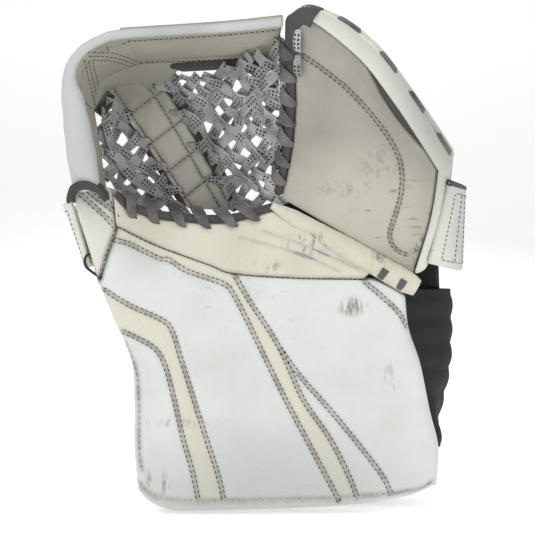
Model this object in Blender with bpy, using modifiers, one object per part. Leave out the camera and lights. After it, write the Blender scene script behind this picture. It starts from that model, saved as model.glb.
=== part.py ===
"""Goalie catch glove for the left hand, fingers up, pocket facing -Y.

The origin is the middle of the wrist, where the hand goes in from below.
+X points to the little finger, +Z to the finger tips, +Y to the back of the hand.
The glove folds shut along the break, a padded welt between the palm and the fingers.
"""

import math

import bmesh
import bpy
from mathutils import Vector

# Materials and clearances
GAP = 0.0003            # between pieces that touch
SEAM = 0.0008           # between two covers that are sewn edge to edge
LEATHER = 0.0018
BOARD = 0.0015
LINING = 0.0014
WEBBING = 0.0024
HOOK_THICKNESS = 0.0012

# Cuff
CUFF_WIDTH = 0.184
CUFF_FOOT_Z = -0.146
CUFF_FACE_Y = -0.045
CUFF_THICKNESS = 0.026
CUFF_WALL = 0.0030      # side wall of the cuff and finger covers
SEAM_DROP = 0.005       # how far the wrist seam dips below the origin

# Palm and thumb
PALM_THICKNESS = 0.017
POCKET_RIM_Z = 0.029
THUMB_TIP_Z = 0.047
THUMB_WIDTH = 0.021
THUMB_OUTER_X = -0.127
THUMB_DEPTH = 0.046

# Break
WELT_RADIUS = 0.0055
TIE_RADIUS = 0.0013
BREAK_START = Vector((-0.006, -0.038, 0.044))
BREAK_END = Vector((0.076, -0.050, -0.0035))
FINGER_TILT = math.radians(40)

# Fingers, along and away from the break
FINGER_LENGTH = 0.113
FINGER_WALL = 0.025     # depth of the wall along the outer edge
KNUCKLE_BULGE = 0.021
FINGER_PAD = 0.009
SHELL_THICKNESS = 0.007
STITCH_RADIUS = 0.0016  # of the lace stitches on the outer edge
LACE_STITCH = 0.10      # length of one, as a share of that edge

# T and webs
T_TOP_Z = 0.130
T_DEPTH = 0.040
T_THICKNESS = 0.007
STEM_WIDTH = 0.025
STEM_THICKNESS = 0.008
ROLL_RADIUS = 0.0042
LACE_THICKNESS = 0.0022

# Hand side
BACK_Y = 0.025
BACKHAND_THICKNESS = 0.010
SLEEVE_THICKNESS = 0.003
STRAP_WIDTH = 0.038
STRAP_Z = -0.072
TAB_HEIGHT = 0.038

COLLECTION = "goalie_catch_glove"


def collection_named(name):
    made = bpy.data.collections.new(name)
    bpy.context.scene.collection.children.link(made)
    return made


def material_named(name, colour, roughness, metallic=0.0):
    made = bpy.data.materials.new(name)
    made.use_nodes = True
    shader = made.node_tree.nodes["Principled BSDF"]
    shader.inputs["Base Color"].default_value = (*colour, 1.0)
    shader.inputs["Roughness"].default_value = roughness
    shader.inputs["Metallic"].default_value = metallic
    made.diffuse_color = (*colour, 1.0)
    return made


for leftover in list(bpy.data.objects):
    bpy.data.objects.remove(leftover, do_unlink=True)

PARTS = collection_named(COLLECTION)
CUTTERS = collection_named("cutters")

WHITE = material_named("white_leather", (0.72, 0.73, 0.71), 0.5)
CREAM = material_named("cream_leather", (0.73, 0.70, 0.60), 0.55)
GREY = material_named("worn_palm_leather", (0.47, 0.46, 0.42), 0.6)
LACE = material_named("skate_lace", (0.32, 0.31, 0.30), 0.8)
BINDING = material_named("dark_binding", (0.05, 0.055, 0.05), 0.7)
BLACK = material_named("black_nylon", (0.02, 0.022, 0.022), 0.8)
FOAM = material_named("foam", (0.35, 0.36, 0.38), 0.9)
PLASTIC = material_named("stiffener_plastic", (0.10, 0.10, 0.11), 0.4)
HOOK = material_named("hook_tape", (0.03, 0.03, 0.03), 0.95)


# ---------------------------------------------------------------- curves and patches

def smooth(value):
    value = min(max(value, 0.0), 1.0)
    return value * value * (3 - 2 * value)


def spread(start, end, count):
    return [start + (end - start) * i / (count - 1) for i in range(count)]


def polyline_at(points, t):
    """The point a share t along a polyline, by length."""
    lengths = [0.0]
    for a, b in zip(points, points[1:]):
        lengths.append(lengths[-1] + (b - a).length)
    wanted = t * lengths[-1]
    for i in range(1, len(points)):
        if wanted <= lengths[i] or i == len(points) - 1:
            step = lengths[i] - lengths[i - 1]
            share = (wanted - lengths[i - 1]) / step
            return points[i - 1].lerp(points[i], min(max(share, 0.0), 1.0))
    return points[-1]


def through(points, count=33):
    """A smooth Catmull-Rom curve through the points, read at equal steps of length."""
    points = [Vector(p) for p in points]
    if len(points) == 2:
        return [points[0].lerp(points[1], t) for t in spread(0, 1, count)]
    ends = [2 * points[0] - points[1]] + points + [2 * points[-1] - points[-2]]
    dense = []
    for before, a, b, after in zip(ends, ends[1:], ends[2:], ends[3:]):
        for t in spread(0, 1, 9)[:-1]:
            dense.append(0.5 * (
                2 * a
                + (b - before) * t
                + (2 * before - 5 * a + 4 * b - after) * t ** 2
                + (3 * a - before - 3 * b + after) * t ** 3
            ))
    dense.append(points[-1])
    return [polyline_at(dense, t) for t in spread(0, 1, count)]


def patch(bottom, top, left, right, across, up, side=0.0, ends=0.0):
    """A Coons patch: rows from bottom to top of a sheet that fills four edge curves.

    side and ends are the shares left out at the left and right, and at the bottom and top.
    """
    rows = []
    for v in spread(ends, 1 - ends, up):
        row = []
        for u in spread(side, 1 - side, across):
            ruled = polyline_at(bottom, u) * (1 - v) + polyline_at(top, u) * v
            crossed = polyline_at(left, v) * (1 - u) + polyline_at(right, v) * u
            corners = (
                (bottom[0] * (1 - u) + bottom[-1] * u) * (1 - v)
                + (top[0] * (1 - u) + top[-1] * u) * v
            )
            row.append(ruled + crossed - corners)
        rows.append(row)
    return rows


def lifted(rows, lift):
    return [[lift(point) for point in row] for row in rows]


# ---------------------------------------------------------------- solids

def finished(name, mesh, material, collection=None):
    mesh.name = name
    made = bpy.data.objects.new(name, mesh)
    (collection or PARTS).objects.link(made)
    if material:
        mesh.materials.append(material)
    return made


def sheet_bmesh(rows):
    """An open sheet of triangles through the rows of points."""
    bm = bmesh.new()
    verts = [[bm.verts.new(point) for point in row] for row in rows]
    for lower, upper in zip(verts, verts[1:]):
        for i in range(len(lower) - 1):
            bm.faces.new((lower[i], lower[i + 1], upper[i + 1], upper[i]))
    bmesh.ops.triangulate(bm, faces=bm.faces[:], quad_method="FIXED")
    return bm


def between(name, front, back, material, collection=None):
    """A solid between two sheets that have the same rows and columns."""
    bm = sheet_bmesh(front)
    grown = bmesh.ops.extrude_face_region(bm, geom=bm.faces[:], use_keep_orig=True)
    far_side = [item for item in grown["geom"] if isinstance(item, bmesh.types.BMVert)]
    places = {tuple(Vector(a)): b for a, b in zip(sum(front, []), sum(back, []))}
    for vertex in far_side:
        vertex.co = places[tuple(vertex.co)]
    bmesh.ops.recalc_face_normals(bm, faces=bm.faces[:])
    mesh = bpy.data.meshes.new(name)
    bm.to_mesh(mesh)
    bm.free()
    return finished(name, mesh, material, collection)


def slab(name, rows, start, end, direction, material, collection=None):
    """The sheet moved by start along direction, and thickened from there to end."""
    front = lifted(rows, lambda point: point + direction * start)
    back = lifted(rows, lambda point: point + direction * end)
    return between(name, front, back, material, collection)


def shell(name, rows, thickness, material):
    """The sheet with a Solidify modifier that keeps it in the middle."""
    bm = sheet_bmesh(rows)
    bmesh.ops.recalc_face_normals(bm, faces=bm.faces[:])
    mesh = bpy.data.meshes.new(name)
    bm.to_mesh(mesh)
    bm.free()
    made = finished(name, mesh, material)
    thicken = made.modifiers.new("thickness", "SOLIDIFY")
    thicken.thickness = thickness
    thicken.offset = 0.0
    thicken.use_even_offset = True
    return made


def lattice(name, rows, thickness, material):
    """A web of laces: the edges of the sheet's quads, as bars."""
    bm = bmesh.new()
    verts = [[bm.verts.new(point) for point in row] for row in rows]
    for lower, upper in zip(verts, verts[1:]):
        for i in range(len(lower) - 1):
            bm.faces.new((lower[i], lower[i + 1], upper[i + 1], upper[i]))
    mesh = bpy.data.meshes.new(name)
    bm.to_mesh(mesh)
    bm.free()
    made = finished(name, mesh, material)
    bars = made.modifiers.new("laces", "WIREFRAME")
    bars.thickness = thickness
    bars.use_even_offset = True
    bars.use_boundary = True
    bars.use_replace = True
    return made


def tube(name, points, radius, material):
    """A POLY curve with a round bevel and closed ends."""
    data = bpy.data.curves.new(name, "CURVE")
    data.dimensions = "3D"
    data.bevel_depth = radius
    data.bevel_resolution = 2
    data.use_fill_caps = True
    spline = data.splines.new("POLY")
    spline.points.add(len(points) - 1)
    for item, point in zip(spline.points, points):
        item.co = (*point, 1.0)
    made = bpy.data.objects.new(name, data)
    PARTS.objects.link(made)
    data.materials.append(material)
    return made


def box_cutter(name, size, centre):
    bpy.ops.mesh.primitive_cube_add(size=1)
    made = bpy.context.object
    for other in made.users_collection:
        other.objects.unlink(made)
    CUTTERS.objects.link(made)
    made.name = name
    made.data.name = name
    for vertex in made.data.vertices:
        vertex.co = Vector(a * b for a, b in zip(vertex.co, size))
    made.location = centre
    return made


def cut(target, cutter):
    """Takes the cutter, a hidden guide, out of the target."""
    cutter.hide_render = True
    cutter.display_type = "WIRE"
    hollow = target.modifiers.new("cut", "BOOLEAN")
    hollow.operation = "DIFFERENCE"
    hollow.object = cutter
    hollow.solver = "EXACT"


def hang_on(name, place, pieces):
    """An empty on the joint's axis, with the pieces that turn about it as its children."""
    pivot = bpy.data.objects.new(name, None)
    PARTS.objects.link(pivot)
    pivot.location = place
    bpy.context.view_layer.update()
    for piece in pieces:
        piece.parent = pivot
        piece.matrix_parent_inverse = pivot.matrix_world.inverted()


# ---------------------------------------------------------------- palm side

BACKWARD = Vector((0, 1, 0))
CUFF_HALF = CUFF_WIDTH / 2
THUMB_ROOT = Vector((-0.115, -0.008))       # (x, z) of the thumb line's outer end
THUMB_CROTCH = Vector((-0.103, 0.026))      # and of its inner end
SEAM_END = Vector((0.044, -SEAM_DROP - 0.0005))
WELT_OFFSET = 0.0065                        # from the break's axis to the welt's middle


def heel_y(x, z):
    """Depth of the palm-side face: flat at the cuff, forward at the thumb, back at the pocket."""
    thumb = smooth((-x - 0.075) / 0.050) * smooth((z + 0.035) / 0.080)
    pocket = smooth((z + 0.010) / 0.045) * smooth((x + 0.105) / 0.030) * smooth((0.020 - x) / 0.040)
    corner = smooth((x - 0.030) / 0.045) * smooth((z + 0.070) / 0.060)
    return CUFF_FACE_Y - 0.020 * thumb + 0.010 * pocket - 0.005 * corner


def on_heel(point):
    return Vector((point.x, heel_y(point.x, point.y), point.y))


def beside_break(share, distance):
    """The (x, z) point a share along the break and a distance from it, above it if positive."""
    start = Vector((BREAK_START.x, BREAK_START.z))
    along = Vector((BREAK_END.x, BREAK_END.z)) - start
    across = Vector((-along.y, along.x)).normalized()
    return start + along * share + across * distance


def moved(points, vector):
    return [point + Vector(vector) for point in points]


def inset(points, distance):
    """A flat polyline moved to its right-hand side by distance."""
    made = []
    for i, point in enumerate(points):
        ahead = points[min(i + 1, len(points) - 1)] - point
        behind = point - points[max(i - 1, 0)]
        tangent = Vector((0, 0))
        for part in (ahead, behind):
            if part.length > 1e-9:
                tangent += part.normalized()
        tangent.normalize()
        made.append(point + Vector((tangent.y, -tangent.x)) * distance)
    return made


PALM_CLEAR = WELT_OFFSET + 1.1 * WELT_RADIUS + SEAM
cuff_bottom = through([
    (-CUFF_HALF, CUFF_FOOT_Z + 0.013), (-CUFF_HALF + 0.006, CUFF_FOOT_Z + 0.0065),
    (-CUFF_HALF + 0.016, CUFF_FOOT_Z + 0.0015), (-CUFF_HALF + 0.030, CUFF_FOOT_Z),
    (0.0, CUFF_FOOT_Z + 0.0015), (CUFF_HALF - 0.057, CUFF_FOOT_Z + 0.0035),
    (CUFF_HALF - 0.024, CUFF_FOOT_Z + 0.008), (CUFF_HALF - 0.003, CUFF_FOOT_Z + 0.016),
])
cuff_left = through([
    (-CUFF_HALF, CUFF_FOOT_Z + 0.013), (-CUFF_HALF - 0.002, CUFF_FOOT_Z + 0.038),
    (-CUFF_HALF - 0.002, CUFF_FOOT_Z + 0.065), (-CUFF_HALF - 0.004, CUFF_FOOT_Z + 0.091),
    (-0.106, -0.031), THUMB_ROOT,
])
cuff_right = through([
    (CUFF_HALF - 0.003, CUFF_FOOT_Z + 0.016), (CUFF_HALF - 0.002, CUFF_FOOT_Z + 0.038),
    (CUFF_HALF - 0.007, CUFF_FOOT_Z + 0.059), (CUFF_HALF - 0.013, CUFF_FOOT_Z + 0.088),
    (0.0715, -0.036), (0.069, -0.0165),
])
wrist_seam = through([
    THUMB_CROTCH, (-0.0815, 0.0149), (-0.049, 0.003),
    (-0.0336, -0.0024), (0.005, -SEAM_DROP), SEAM_END,
])
seam_tail = through([SEAM_END, (0.057, -0.0105), (0.069, -0.0165)], 9)
thumb_line = through([THUMB_ROOT, THUMB_CROTCH], 9)


def x_on(edge, z):
    """The x where an upright edge curve passes the height z."""
    nearest = min(edge, key=lambda point: abs(point.y - z))
    return nearest.x


def cuff_rows(margin):
    side = margin / CUFF_WIDTH
    ends = margin / (SEAM_DROP - CUFF_FOOT_Z)
    flat = patch(cuff_bottom, wrist_seam + seam_tail[1:], cuff_left + thumb_line[1:],
                 cuff_right, 15, 10, side, ends)
    return lifted(flat, on_heel)


def build_cuff():
    """A leather tray filled with foam and a stiffener, and closed at the back by a lining."""
    cover = slab("cuff_cover", cuff_rows(0), 0, CUFF_THICKNESS, BACKWARD, WHITE)
    hollow = cuff_rows(CUFF_WALL)
    cut(cover, slab("cuff_hollow", hollow, LEATHER, 2 * CUFF_THICKNESS, BACKWARD, None, CUTTERS))
    inside = cuff_rows(CUFF_WALL + 0.0008)
    board_front = CUFF_THICKNESS - BOARD - 4 * GAP
    foam_back = board_front - GAP
    slab("cuff_foam", inside, LEATHER + 2 * GAP, foam_back, BACKWARD, FOAM)
    slab("cuff_stiffener", inside, board_front, board_front + BOARD, BACKWARD, PLASTIC)
    lining = CUFF_THICKNESS + GAP
    slab("cuff_lining", cuff_rows(0), lining, lining + LINING, BACKWARD, BLACK)


def build_palm():
    rim = [
        (-0.104, 0.044), (-0.0958, POCKET_RIM_Z + 0.007), (-0.0816, POCKET_RIM_Z + 0.003),
        (-0.0656, POCKET_RIM_Z + 0.001), (-0.050, POCKET_RIM_Z), (-0.0334, POCKET_RIM_Z + 0.001),
        beside_break(0, -PALM_CLEAR),
    ]
    last = 0.69
    edge = through([beside_break(t, -PALM_CLEAR) for t in spread(0, last, 5)], 17)
    top = moved(through(rim, 17), (SEAM, 0)) + edge[1:]
    top[-1] = edge[-1]
    bottom = moved(wrist_seam, (SEAM, SEAM))
    left = [bottom[0], top[0]]
    right = [bottom[-1], top[-1]]
    rows = lifted(patch(bottom, top, left, right, 17, 6), on_heel)
    felt = LEATHER + GAP
    lining = PALM_THICKNESS - LINING
    slab("palm_cover", rows, 0, LEATHER, BACKWARD, CREAM)
    slab("palm_felt", rows, felt, lining - GAP, BACKWARD, FOAM)
    slab("palm_lining", rows, lining, PALM_THICKNESS, BACKWARD, BLACK)
    rim_line = [on_heel(point) for point in through(rim, 19)]
    lacing = [point + Vector((0, 0.004, 0.0046)) for point in rim_line]
    tube("palm_edge_lacing", lacing[3:], 0.0028, LACE)


def thumb_rows(margin):
    line = thumb_line[-1] - thumb_line[0]
    away = Vector((-line.y, line.x)).normalized() * SEAM
    bottom = [point + away for point in thumb_line]
    tip_left = Vector((THUMB_OUTER_X, THUMB_TIP_Z))
    tip_right = Vector((THUMB_OUTER_X + THUMB_WIDTH, THUMB_TIP_Z + 0.001))
    left = through([bottom[0], (-0.119, 0.012), (-0.124, 0.032), tip_left])
    right = through([bottom[-1], (-0.104, 0.040), tip_right])
    top = through([tip_left, (tip_left + tip_right) / 2 + Vector((0, 0.002)), tip_right])
    width = THUMB_WIDTH * 0.8
    flat = patch(bottom, top, left, right, 6, 8, margin / width, margin / 0.030)
    return lifted(flat, on_heel)


def build_thumb():
    """A deep tray on edge: its inner side is the thumb wall of the pocket."""
    cover = slab("thumb_cover", thumb_rows(0), 0, THUMB_DEPTH, BACKWARD, WHITE)
    hollow = thumb_rows(0.0022)
    cut(cover, slab("thumb_hollow", hollow, LEATHER, 2 * THUMB_DEPTH, BACKWARD, None, CUTTERS))
    doorway = box_cutter("thumb_doorway", (0.030, 0.011, 0.020), (-0.102, -0.0200, 0.010))
    cut(cover, doorway)
    inside = thumb_rows(0.0030)
    depth = LEATHER + 2 * GAP
    for name, thick, material in (
        ("thumb_foam", 0.011, FOAM),
        ("thumb_stiffener", BOARD, PLASTIC),
        ("thumb_lining", LINING, BLACK),
    ):
        slab(name, inside, depth, depth + thick, BACKWARD, material)
        depth += thick + GAP
    back = THUMB_DEPTH + GAP
    slab("thumb_back", thumb_rows(0), back, back + LEATHER, BACKWARD, WHITE)
    tip = thumb_rows(0)[-1]
    band = [[point + Vector((0, 0.002, GAP)) for point in tip],
            [point + Vector((0, 0.030, GAP)) for point in tip]]
    slab("thumb_tip_binding", band, 0, 0.0022, Vector((0, 0, 1)), BINDING)


# ---------------------------------------------------------------- break

def welt_line():
    line = []
    for share in spread(0.0, 1.0, 15):
        flat = beside_break(share, -WELT_OFFSET)
        depth = BREAK_START.y + (BREAK_END.y - BREAK_START.y) * share
        line.append(Vector((flat.x, depth, flat.y)))
    return line


def build_welt():
    """A padded roll that tapers to its ends, and the two lace ties that hold its outer end."""
    line = welt_line()
    welt = tube("break_welt", line, WELT_RADIUS, CREAM)
    for point, share in zip(welt.data.splines[0].points, spread(0, 1, len(line))):
        point.radius = 0.75 + 0.35 * math.sin(math.pi * share)
    along = (line[-1] - line[0]).normalized()
    across = BACKWARD.cross(along).normalized()
    ring = WELT_RADIUS + TIE_RADIUS + 3 * GAP
    for name, share in (("heel_tie_upper", 0.93), ("heel_tie_lower", 0.80)):
        centre = line[0].lerp(line[-1], share)
        arc = []
        for angle in spread(-0.60 * math.pi, -0.25 * math.pi, 7):
            arc.append(centre + across * (ring * math.cos(angle)) + BACKWARD * (ring * math.sin(angle)))
        tube(name, arc, TIE_RADIUS, BINDING)


# ---------------------------------------------------------------- fingers

ALONG = (BREAK_END - BREAK_START).normalized()
LEVEL = (BACKWARD - ALONG * ALONG.y).normalized()
RISE = ALONG.cross(LEVEL).normalized()
OUTWARD = (RISE * math.cos(FINGER_TILT) - LEVEL * math.sin(FINGER_TILT)).normalized()
INWARD = OUTWARD.cross(ALONG).normalized()
if INWARD.y < 0:
    INWARD = -INWARD


def at_fingers(u, r, n=0.0):
    """A world point from its place along the break, away from it, and behind the face."""
    return BREAK_START + ALONG * u + OUTWARD * r + INWARD * n


FACE_FOOT = 0.0020      # from the break's axis to the foot of the face
GUSSET = 0.0022         # thickness of the outer wall


def up_fingers(points):
    """Points (u, share of the way from the face's foot to the tip) as points (u, r)."""
    return [Vector((u, FACE_FOOT + share * (FINGER_LENGTH - FACE_FOOT))) for u, share in points]


face_left = through(up_fingers([(-0.002, 0), (-0.0055, 0.18), (-0.009, 0.33), (-0.0165, 0.55),
                                (-0.025, 0.735), (-0.0335, 0.928)]))
face_top = through(up_fingers([(-0.0335, 0.928), (-0.024, 1), (0.010, 0.946), (0.037, 0.83),
                               (0.0586, 0.716), (0.077, 0.613)]))
face_right = through(up_fingers([(0.077, 0.613), (0.083, 0.46), (0.0885, 0.28), (0.0945, 0)]))
outline = face_left + face_top[1:] + face_right[1:]


def taper(u):
    """1 over the hand and less toward the tip, where the fingers' section is thin."""
    return smooth((u + 0.034) / 0.035)


def edge_depth(u):
    return FINGER_WALL * (0.6 + 0.4 * taper(u)) - SHELL_THICKNESS


def bulge(u, r):
    """How far the shell stands back from its edge to make room for the knuckles."""
    across = max(0.0, 1 - ((u - 0.042) / 0.052) ** 2)
    return KNUCKLE_BULGE * across * (1 - smooth(r / 0.095))


def finger_sheet(rows, depth):
    return lifted(rows, lambda point: at_fingers(point.x, point.y, depth(point.x, point.y)))


def pad_depth(u):
    """Thickness of the finger pad, which thins out toward the tip."""
    return FINGER_PAD * (0.25 + 0.75 * taper(u))


def finger_layer(name, rows, front, back, material):
    """A layer of the finger section. front and back are pairs: a depth, and a share of the pad to add."""
    between(
        name,
        finger_sheet(rows, lambda u, r: front[0] + front[1] * pad_depth(u)),
        finger_sheet(rows, lambda u, r: back[0] + back[1] * pad_depth(u)),
        material,
    )


def build_fingers():
    inner = inset(outline, GUSSET + SEAM / 2)
    walls = [outline, inset(outline, GUSSET)]
    between("finger_gusset", finger_sheet(walls, lambda u, r: 0),
            finger_sheet(walls, lambda u, r: edge_depth(u) - 2 * GAP), WHITE)
    first, second = len(face_left), len(face_left) + len(face_top) - 1
    left, top, right = inner[:first], inner[first - 1:second], inner[second - 1:]
    right = right[::-1]
    bottom = through([left[0], right[0]])
    rows = patch(bottom, top, left, right, 13, 11)
    pad = LEATHER + GAP
    board = pad + GAP
    lining = board + BOARD + GAP
    finger_layer("finger_face", rows, (0, 0), (LEATHER, 0), GREY)
    finger_layer("finger_pad", rows, (pad, 0), (pad, 1), FOAM)
    finger_layer("finger_stiffener", rows, (board, 1), (board + BOARD, 1), PLASTIC)
    finger_layer("finger_lining", rows, (lining, 1), (lining + LINING, 1), BLACK)
    full_bottom = through([outline[0], outline[-1]])
    full = patch(full_bottom, face_top, face_left, face_right[::-1], 13, 11)
    between(
        "finger_shell",
        finger_sheet(full, lambda u, r: edge_depth(u) + GAP + bulge(u, r)),
        finger_sheet(full, lambda u, r: edge_depth(u) + GAP + bulge(u, r) + SHELL_THICKNESS),
        WHITE,
    )
    lace_line = [at_fingers(point.x, point.y, 0.002) for point in inset(face_left, -0.0038)]
    tube("finger_edge_lacing", lace_line[3:], 0.003, LACE)
    tip = inset(face_top, -GAP)[:7]
    band = [[at_fingers(p.x, p.y, 0.0005) for p in tip],
            [at_fingers(p.x, p.y, 0.012) for p in tip]]
    slab("finger_tip_binding", band, GAP, 0.0022, OUTWARD, BINDING)
    beside = inset(face_top, -STITCH_RADIUS - 2 * GAP)
    laces = []
    for number, share in enumerate((0.36, 0.56, 0.75, 0.94), 1):
        stitch = []
        for t in spread(share - LACE_STITCH / 2, share + LACE_STITCH / 2, 4):
            place = polyline_at(beside, t)
            stitch.append(at_fingers(place.x, place.y, edge_depth(place.x) + SHELL_THICKNESS / 2))
        laces.append(f"finger_lace_{number}")
        tube(laces[-1], stitch, STITCH_RADIUS, BINDING)
    return ["finger_gusset", "finger_face", "finger_pad", "finger_stiffener", "finger_lining",
            "finger_shell", "finger_edge_lacing", "finger_tip_binding"] + laces


# ---------------------------------------------------------------- T and webs

T_BACK_Z = T_TOP_Z - 0.006


def build_t():
    """The top wall, the thumb wall, the corner between them, the stem and the webs."""
    up = Vector((0, 0, 1))
    finger_front = through([(-0.092, -0.077, T_TOP_Z), (-0.040, -0.087, T_TOP_Z + 0.001),
                            (-0.010, -0.0955, T_TOP_Z + 0.002)], 11)
    finger_back = through([(-0.092, -0.077 + T_DEPTH, T_BACK_Z), (-0.042, -0.090 + T_DEPTH, T_BACK_Z),
                           (-0.014, -0.100 + T_DEPTH, T_BACK_Z)], 11)
    slab("t_wing_finger", across_rows(finger_front, finger_back), 0, T_THICKNESS, up, CREAM)
    thumb_front = through([(-0.1215, -0.072, 0.097), (-0.1190, -0.070, 0.075), (-0.1175, -0.068, 0.053)], 9)
    thumb_back = through([(-0.1195, -0.072 + T_DEPTH, 0.096), (-0.1160, -0.070 + T_DEPTH, 0.075),
                          (-0.1125, -0.068 + T_DEPTH, 0.053)], 9)
    slab("t_wing_thumb", across_rows(thumb_front, thumb_back), 0, T_THICKNESS, Vector((-1, 0, 0)), CREAM)
    outer = Vector((-1, 0, 1)).normalized()
    corner_front = through([(-0.121, -0.073, 0.1005), (-0.1185, -0.0745, 0.1135),
                            (-0.109, -0.076, 0.1240), (-0.094, -0.077, T_TOP_Z)], 9)
    corner_back = through([(-0.119, -0.073 + T_DEPTH, 0.0995), (-0.1165, -0.0745 + T_DEPTH, 0.1115),
                           (-0.108, -0.076 + T_DEPTH, 0.1185), (-0.0935, -0.077 + T_DEPTH, T_BACK_Z)], 9)
    slab("t_corner", across_rows(corner_front, corner_back), 0, 0.8 * T_THICKNESS, outer, CREAM)
    roll = through([(-0.1235, -0.0740, 0.0535), (-0.1260, -0.0760, 0.0780), (-0.1268, -0.0780, 0.1030),
                    (-0.1250, -0.0790, 0.1130), (-0.1190, -0.0800, 0.1215), (-0.1080, -0.0810, 0.1285),
                    (-0.0940, -0.0825, T_TOP_Z + 0.003), (-0.0400, -0.0920, T_TOP_Z + 0.004),
                    (-0.0100, -0.1005, T_TOP_Z + 0.005)], 31)
    tube("t_roll", roll, ROLL_RADIUS, WHITE)

    left = [Vector(p) for p in ((-0.1130, -0.0740 + T_DEPTH, 0.1170), (-0.1040, -0.0150, 0.0980),
                                (-0.0900, -0.0020, 0.0760), (-0.0740, 0.0020, 0.0560),
                                (-0.0640, 0.0030, 0.0420))]
    widths = (1.0, 1.05, 1.12, 1.22, 1.25)
    sideways = Vector((0.97, 0.05, -0.24)).normalized()
    right = [point + sideways * (STEM_WIDTH * wide) for point, wide in zip(left, widths)]
    stem_left, stem_right = through(left, 13), through(right, 13)
    stem = [[a.lerp(b, t) for t in spread(0, 1, 5)] for a, b in zip(stem_left, stem_right)]
    behind = sideways.cross(left[-1] - left[0]).normalized()
    if behind.y < 0:
        behind = -behind
    depth = 0.0
    for name, thick, material in (
        ("t_stem_face", STEM_THICKNESS - BOARD - LEATHER, CREAM),
        ("t_stem_stiffener", BOARD, PLASTIC),
        ("t_stem_back", LEATHER, WHITE),
    ):
        slab(name, stem, depth, depth + thick, behind, material)
        depth += thick + GAP
    strip = ROLL_RADIUS * 0.5
    beside = strip + 3 * SEAM
    middle = behind * (STEM_THICKNESS / 2)
    thumb_strip = [point - sideways * beside + middle for point in stem_left]
    finger_strip = [point + sideways * beside + middle for point in stem_right]
    tube("t_strip_thumb", thumb_strip, strip, BINDING)
    tube("t_strip_finger", finger_strip, strip, BINDING)

    reach = 2 * strip + 2 * LACE_THICKNESS
    finger_side = [point + sideways * reach for point in finger_strip[1:12]]
    face_edge = [at_fingers(p.x, p.y, 0.004) for p in inset(face_left, -0.0095)]
    face_edge = face_edge[6:28]
    web_top = through([finger_side[0], (-0.045, -0.090 + T_DEPTH, T_BACK_Z - 0.005), face_edge[-1]])
    web_foot = through([finger_side[-1], (-0.024, -0.026, 0.0475), face_edge[0]])
    lattice("web_finger", patch(web_foot, web_top, finger_side[::-1], face_edge, 9, 8),
            LACE_THICKNESS, LACE)
    thumb_side = [point - sideways * reach for point in thumb_strip[1:13]]
    wing_edge = through([(-0.1165, -0.087 + T_DEPTH, 0.097), (-0.1120, -0.080 + T_DEPTH, 0.075),
                         (-0.1080, -0.084 + T_DEPTH, 0.056)])
    thumb_top = through([wing_edge[0], (-0.1135, -0.080 + T_DEPTH, 0.0990), thumb_side[0]])
    thumb_foot = through([wing_edge[-1], (-0.088, -0.024, 0.0440), thumb_side[-1]])
    lattice("web_thumb", patch(thumb_foot, thumb_top, wing_edge[::-1], thumb_side[::-1], 6, 8),
            LACE_THICKNESS, LACE)
    return ["t_wing_finger", "t_wing_thumb", "t_corner", "t_roll", "t_stem_face",
            "t_stem_stiffener", "t_stem_back", "t_strip_thumb", "t_strip_finger",
            "web_finger", "web_thumb"]


def across_rows(front, back, steps=5):
    """Rows from one curve to another."""
    return [[a.lerp(b, t) for a, b in zip(front, back)] for t in spread(0, 1, steps)]


# ---------------------------------------------------------------- hand side

SLEEVE_BOTTOM = -0.112
SLEEVE_TOP = -0.015
SLEEVE_FRONT = CUFF_FACE_Y + CUFF_THICKNESS + LINING + SLEEVE_THICKNESS / 2 + 3 * GAP


def sleeve_path(z, grow=0.0):
    """The wrist sleeve's middle line at height z, from the little-finger side round the back."""
    near = x_on(cuff_right, z)
    outer = 0.096 + 0.009 * smooth((z + 0.113) / 0.060)
    far = x_on(cuff_left, z)
    points = through([
        (near - 0.007, SLEEVE_FRONT), (near + 0.006, SLEEVE_FRONT + 0.003), (outer - 0.004, -0.002),
        (outer, 0.008), (outer - 0.014, BACK_Y - 0.004), (0.040, BACK_Y + 0.002),
        (-0.030, BACK_Y + 0.002), (-0.068, BACK_Y - 0.004), (far + 0.007, 0.004),
        (far + 0.010, SLEEVE_FRONT),
    ], 41)
    return inset(points, grow)


def back_y(x, z):
    return BACK_Y - 0.013 * smooth(z / 0.055) - 0.015 * ((x - 0.010) / 0.090) ** 2


def build_hand_side():
    heights = spread(SLEEVE_BOTTOM, SLEEVE_TOP, 8)
    rows = [[Vector((p.x, p.y, z)) for p in sleeve_path(z)] for z in heights]
    shell("wrist_sleeve", rows, SLEEVE_THICKNESS, BLACK)
    left = through([(-0.080, -0.012), (-0.070, 0.008), (-0.046, 0.022), (-0.020, 0.030)])
    right = through([(0.098, -0.012), (0.096, 0.014), (0.086, 0.038)])
    bottom = through([left[0], right[0]])
    top = through([left[-1], (0.000, 0.044), (0.045, 0.047), right[-1]])
    for name, margin, start, end, material in (
        ("backhand_pad", 0.0, 0.0, -BACKHAND_THICKNESS, BLACK),
        ("backhand_lining", 0.0, -BACKHAND_THICKNESS - GAP, -BACKHAND_THICKNESS - GAP - LINING, BLACK),
        ("backhand_cover", 0.08, GAP, 0.005, WHITE),
    ):
        flat = patch(bottom, top, left, right, 13, 7, margin, margin)
        rows = lifted(flat, lambda p: Vector((p.x, back_y(p.x, p.y), p.y)))
        slab(name, rows, start, end, BACKWARD, material)
    low, high = STRAP_Z - STRAP_WIDTH / 2, STRAP_Z + STRAP_WIDTH / 2
    hook_grow = SLEEVE_THICKNESS / 2 + GAP + HOOK_THICKNESS / 2 + GAP
    rows = [[Vector((p.x, p.y, z)) for p in sleeve_path(z, hook_grow)[9:17]] for z in spread(low, high, 4)]
    shell("wrist_hook_patch", rows, HOOK_THICKNESS, HOOK)


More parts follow.
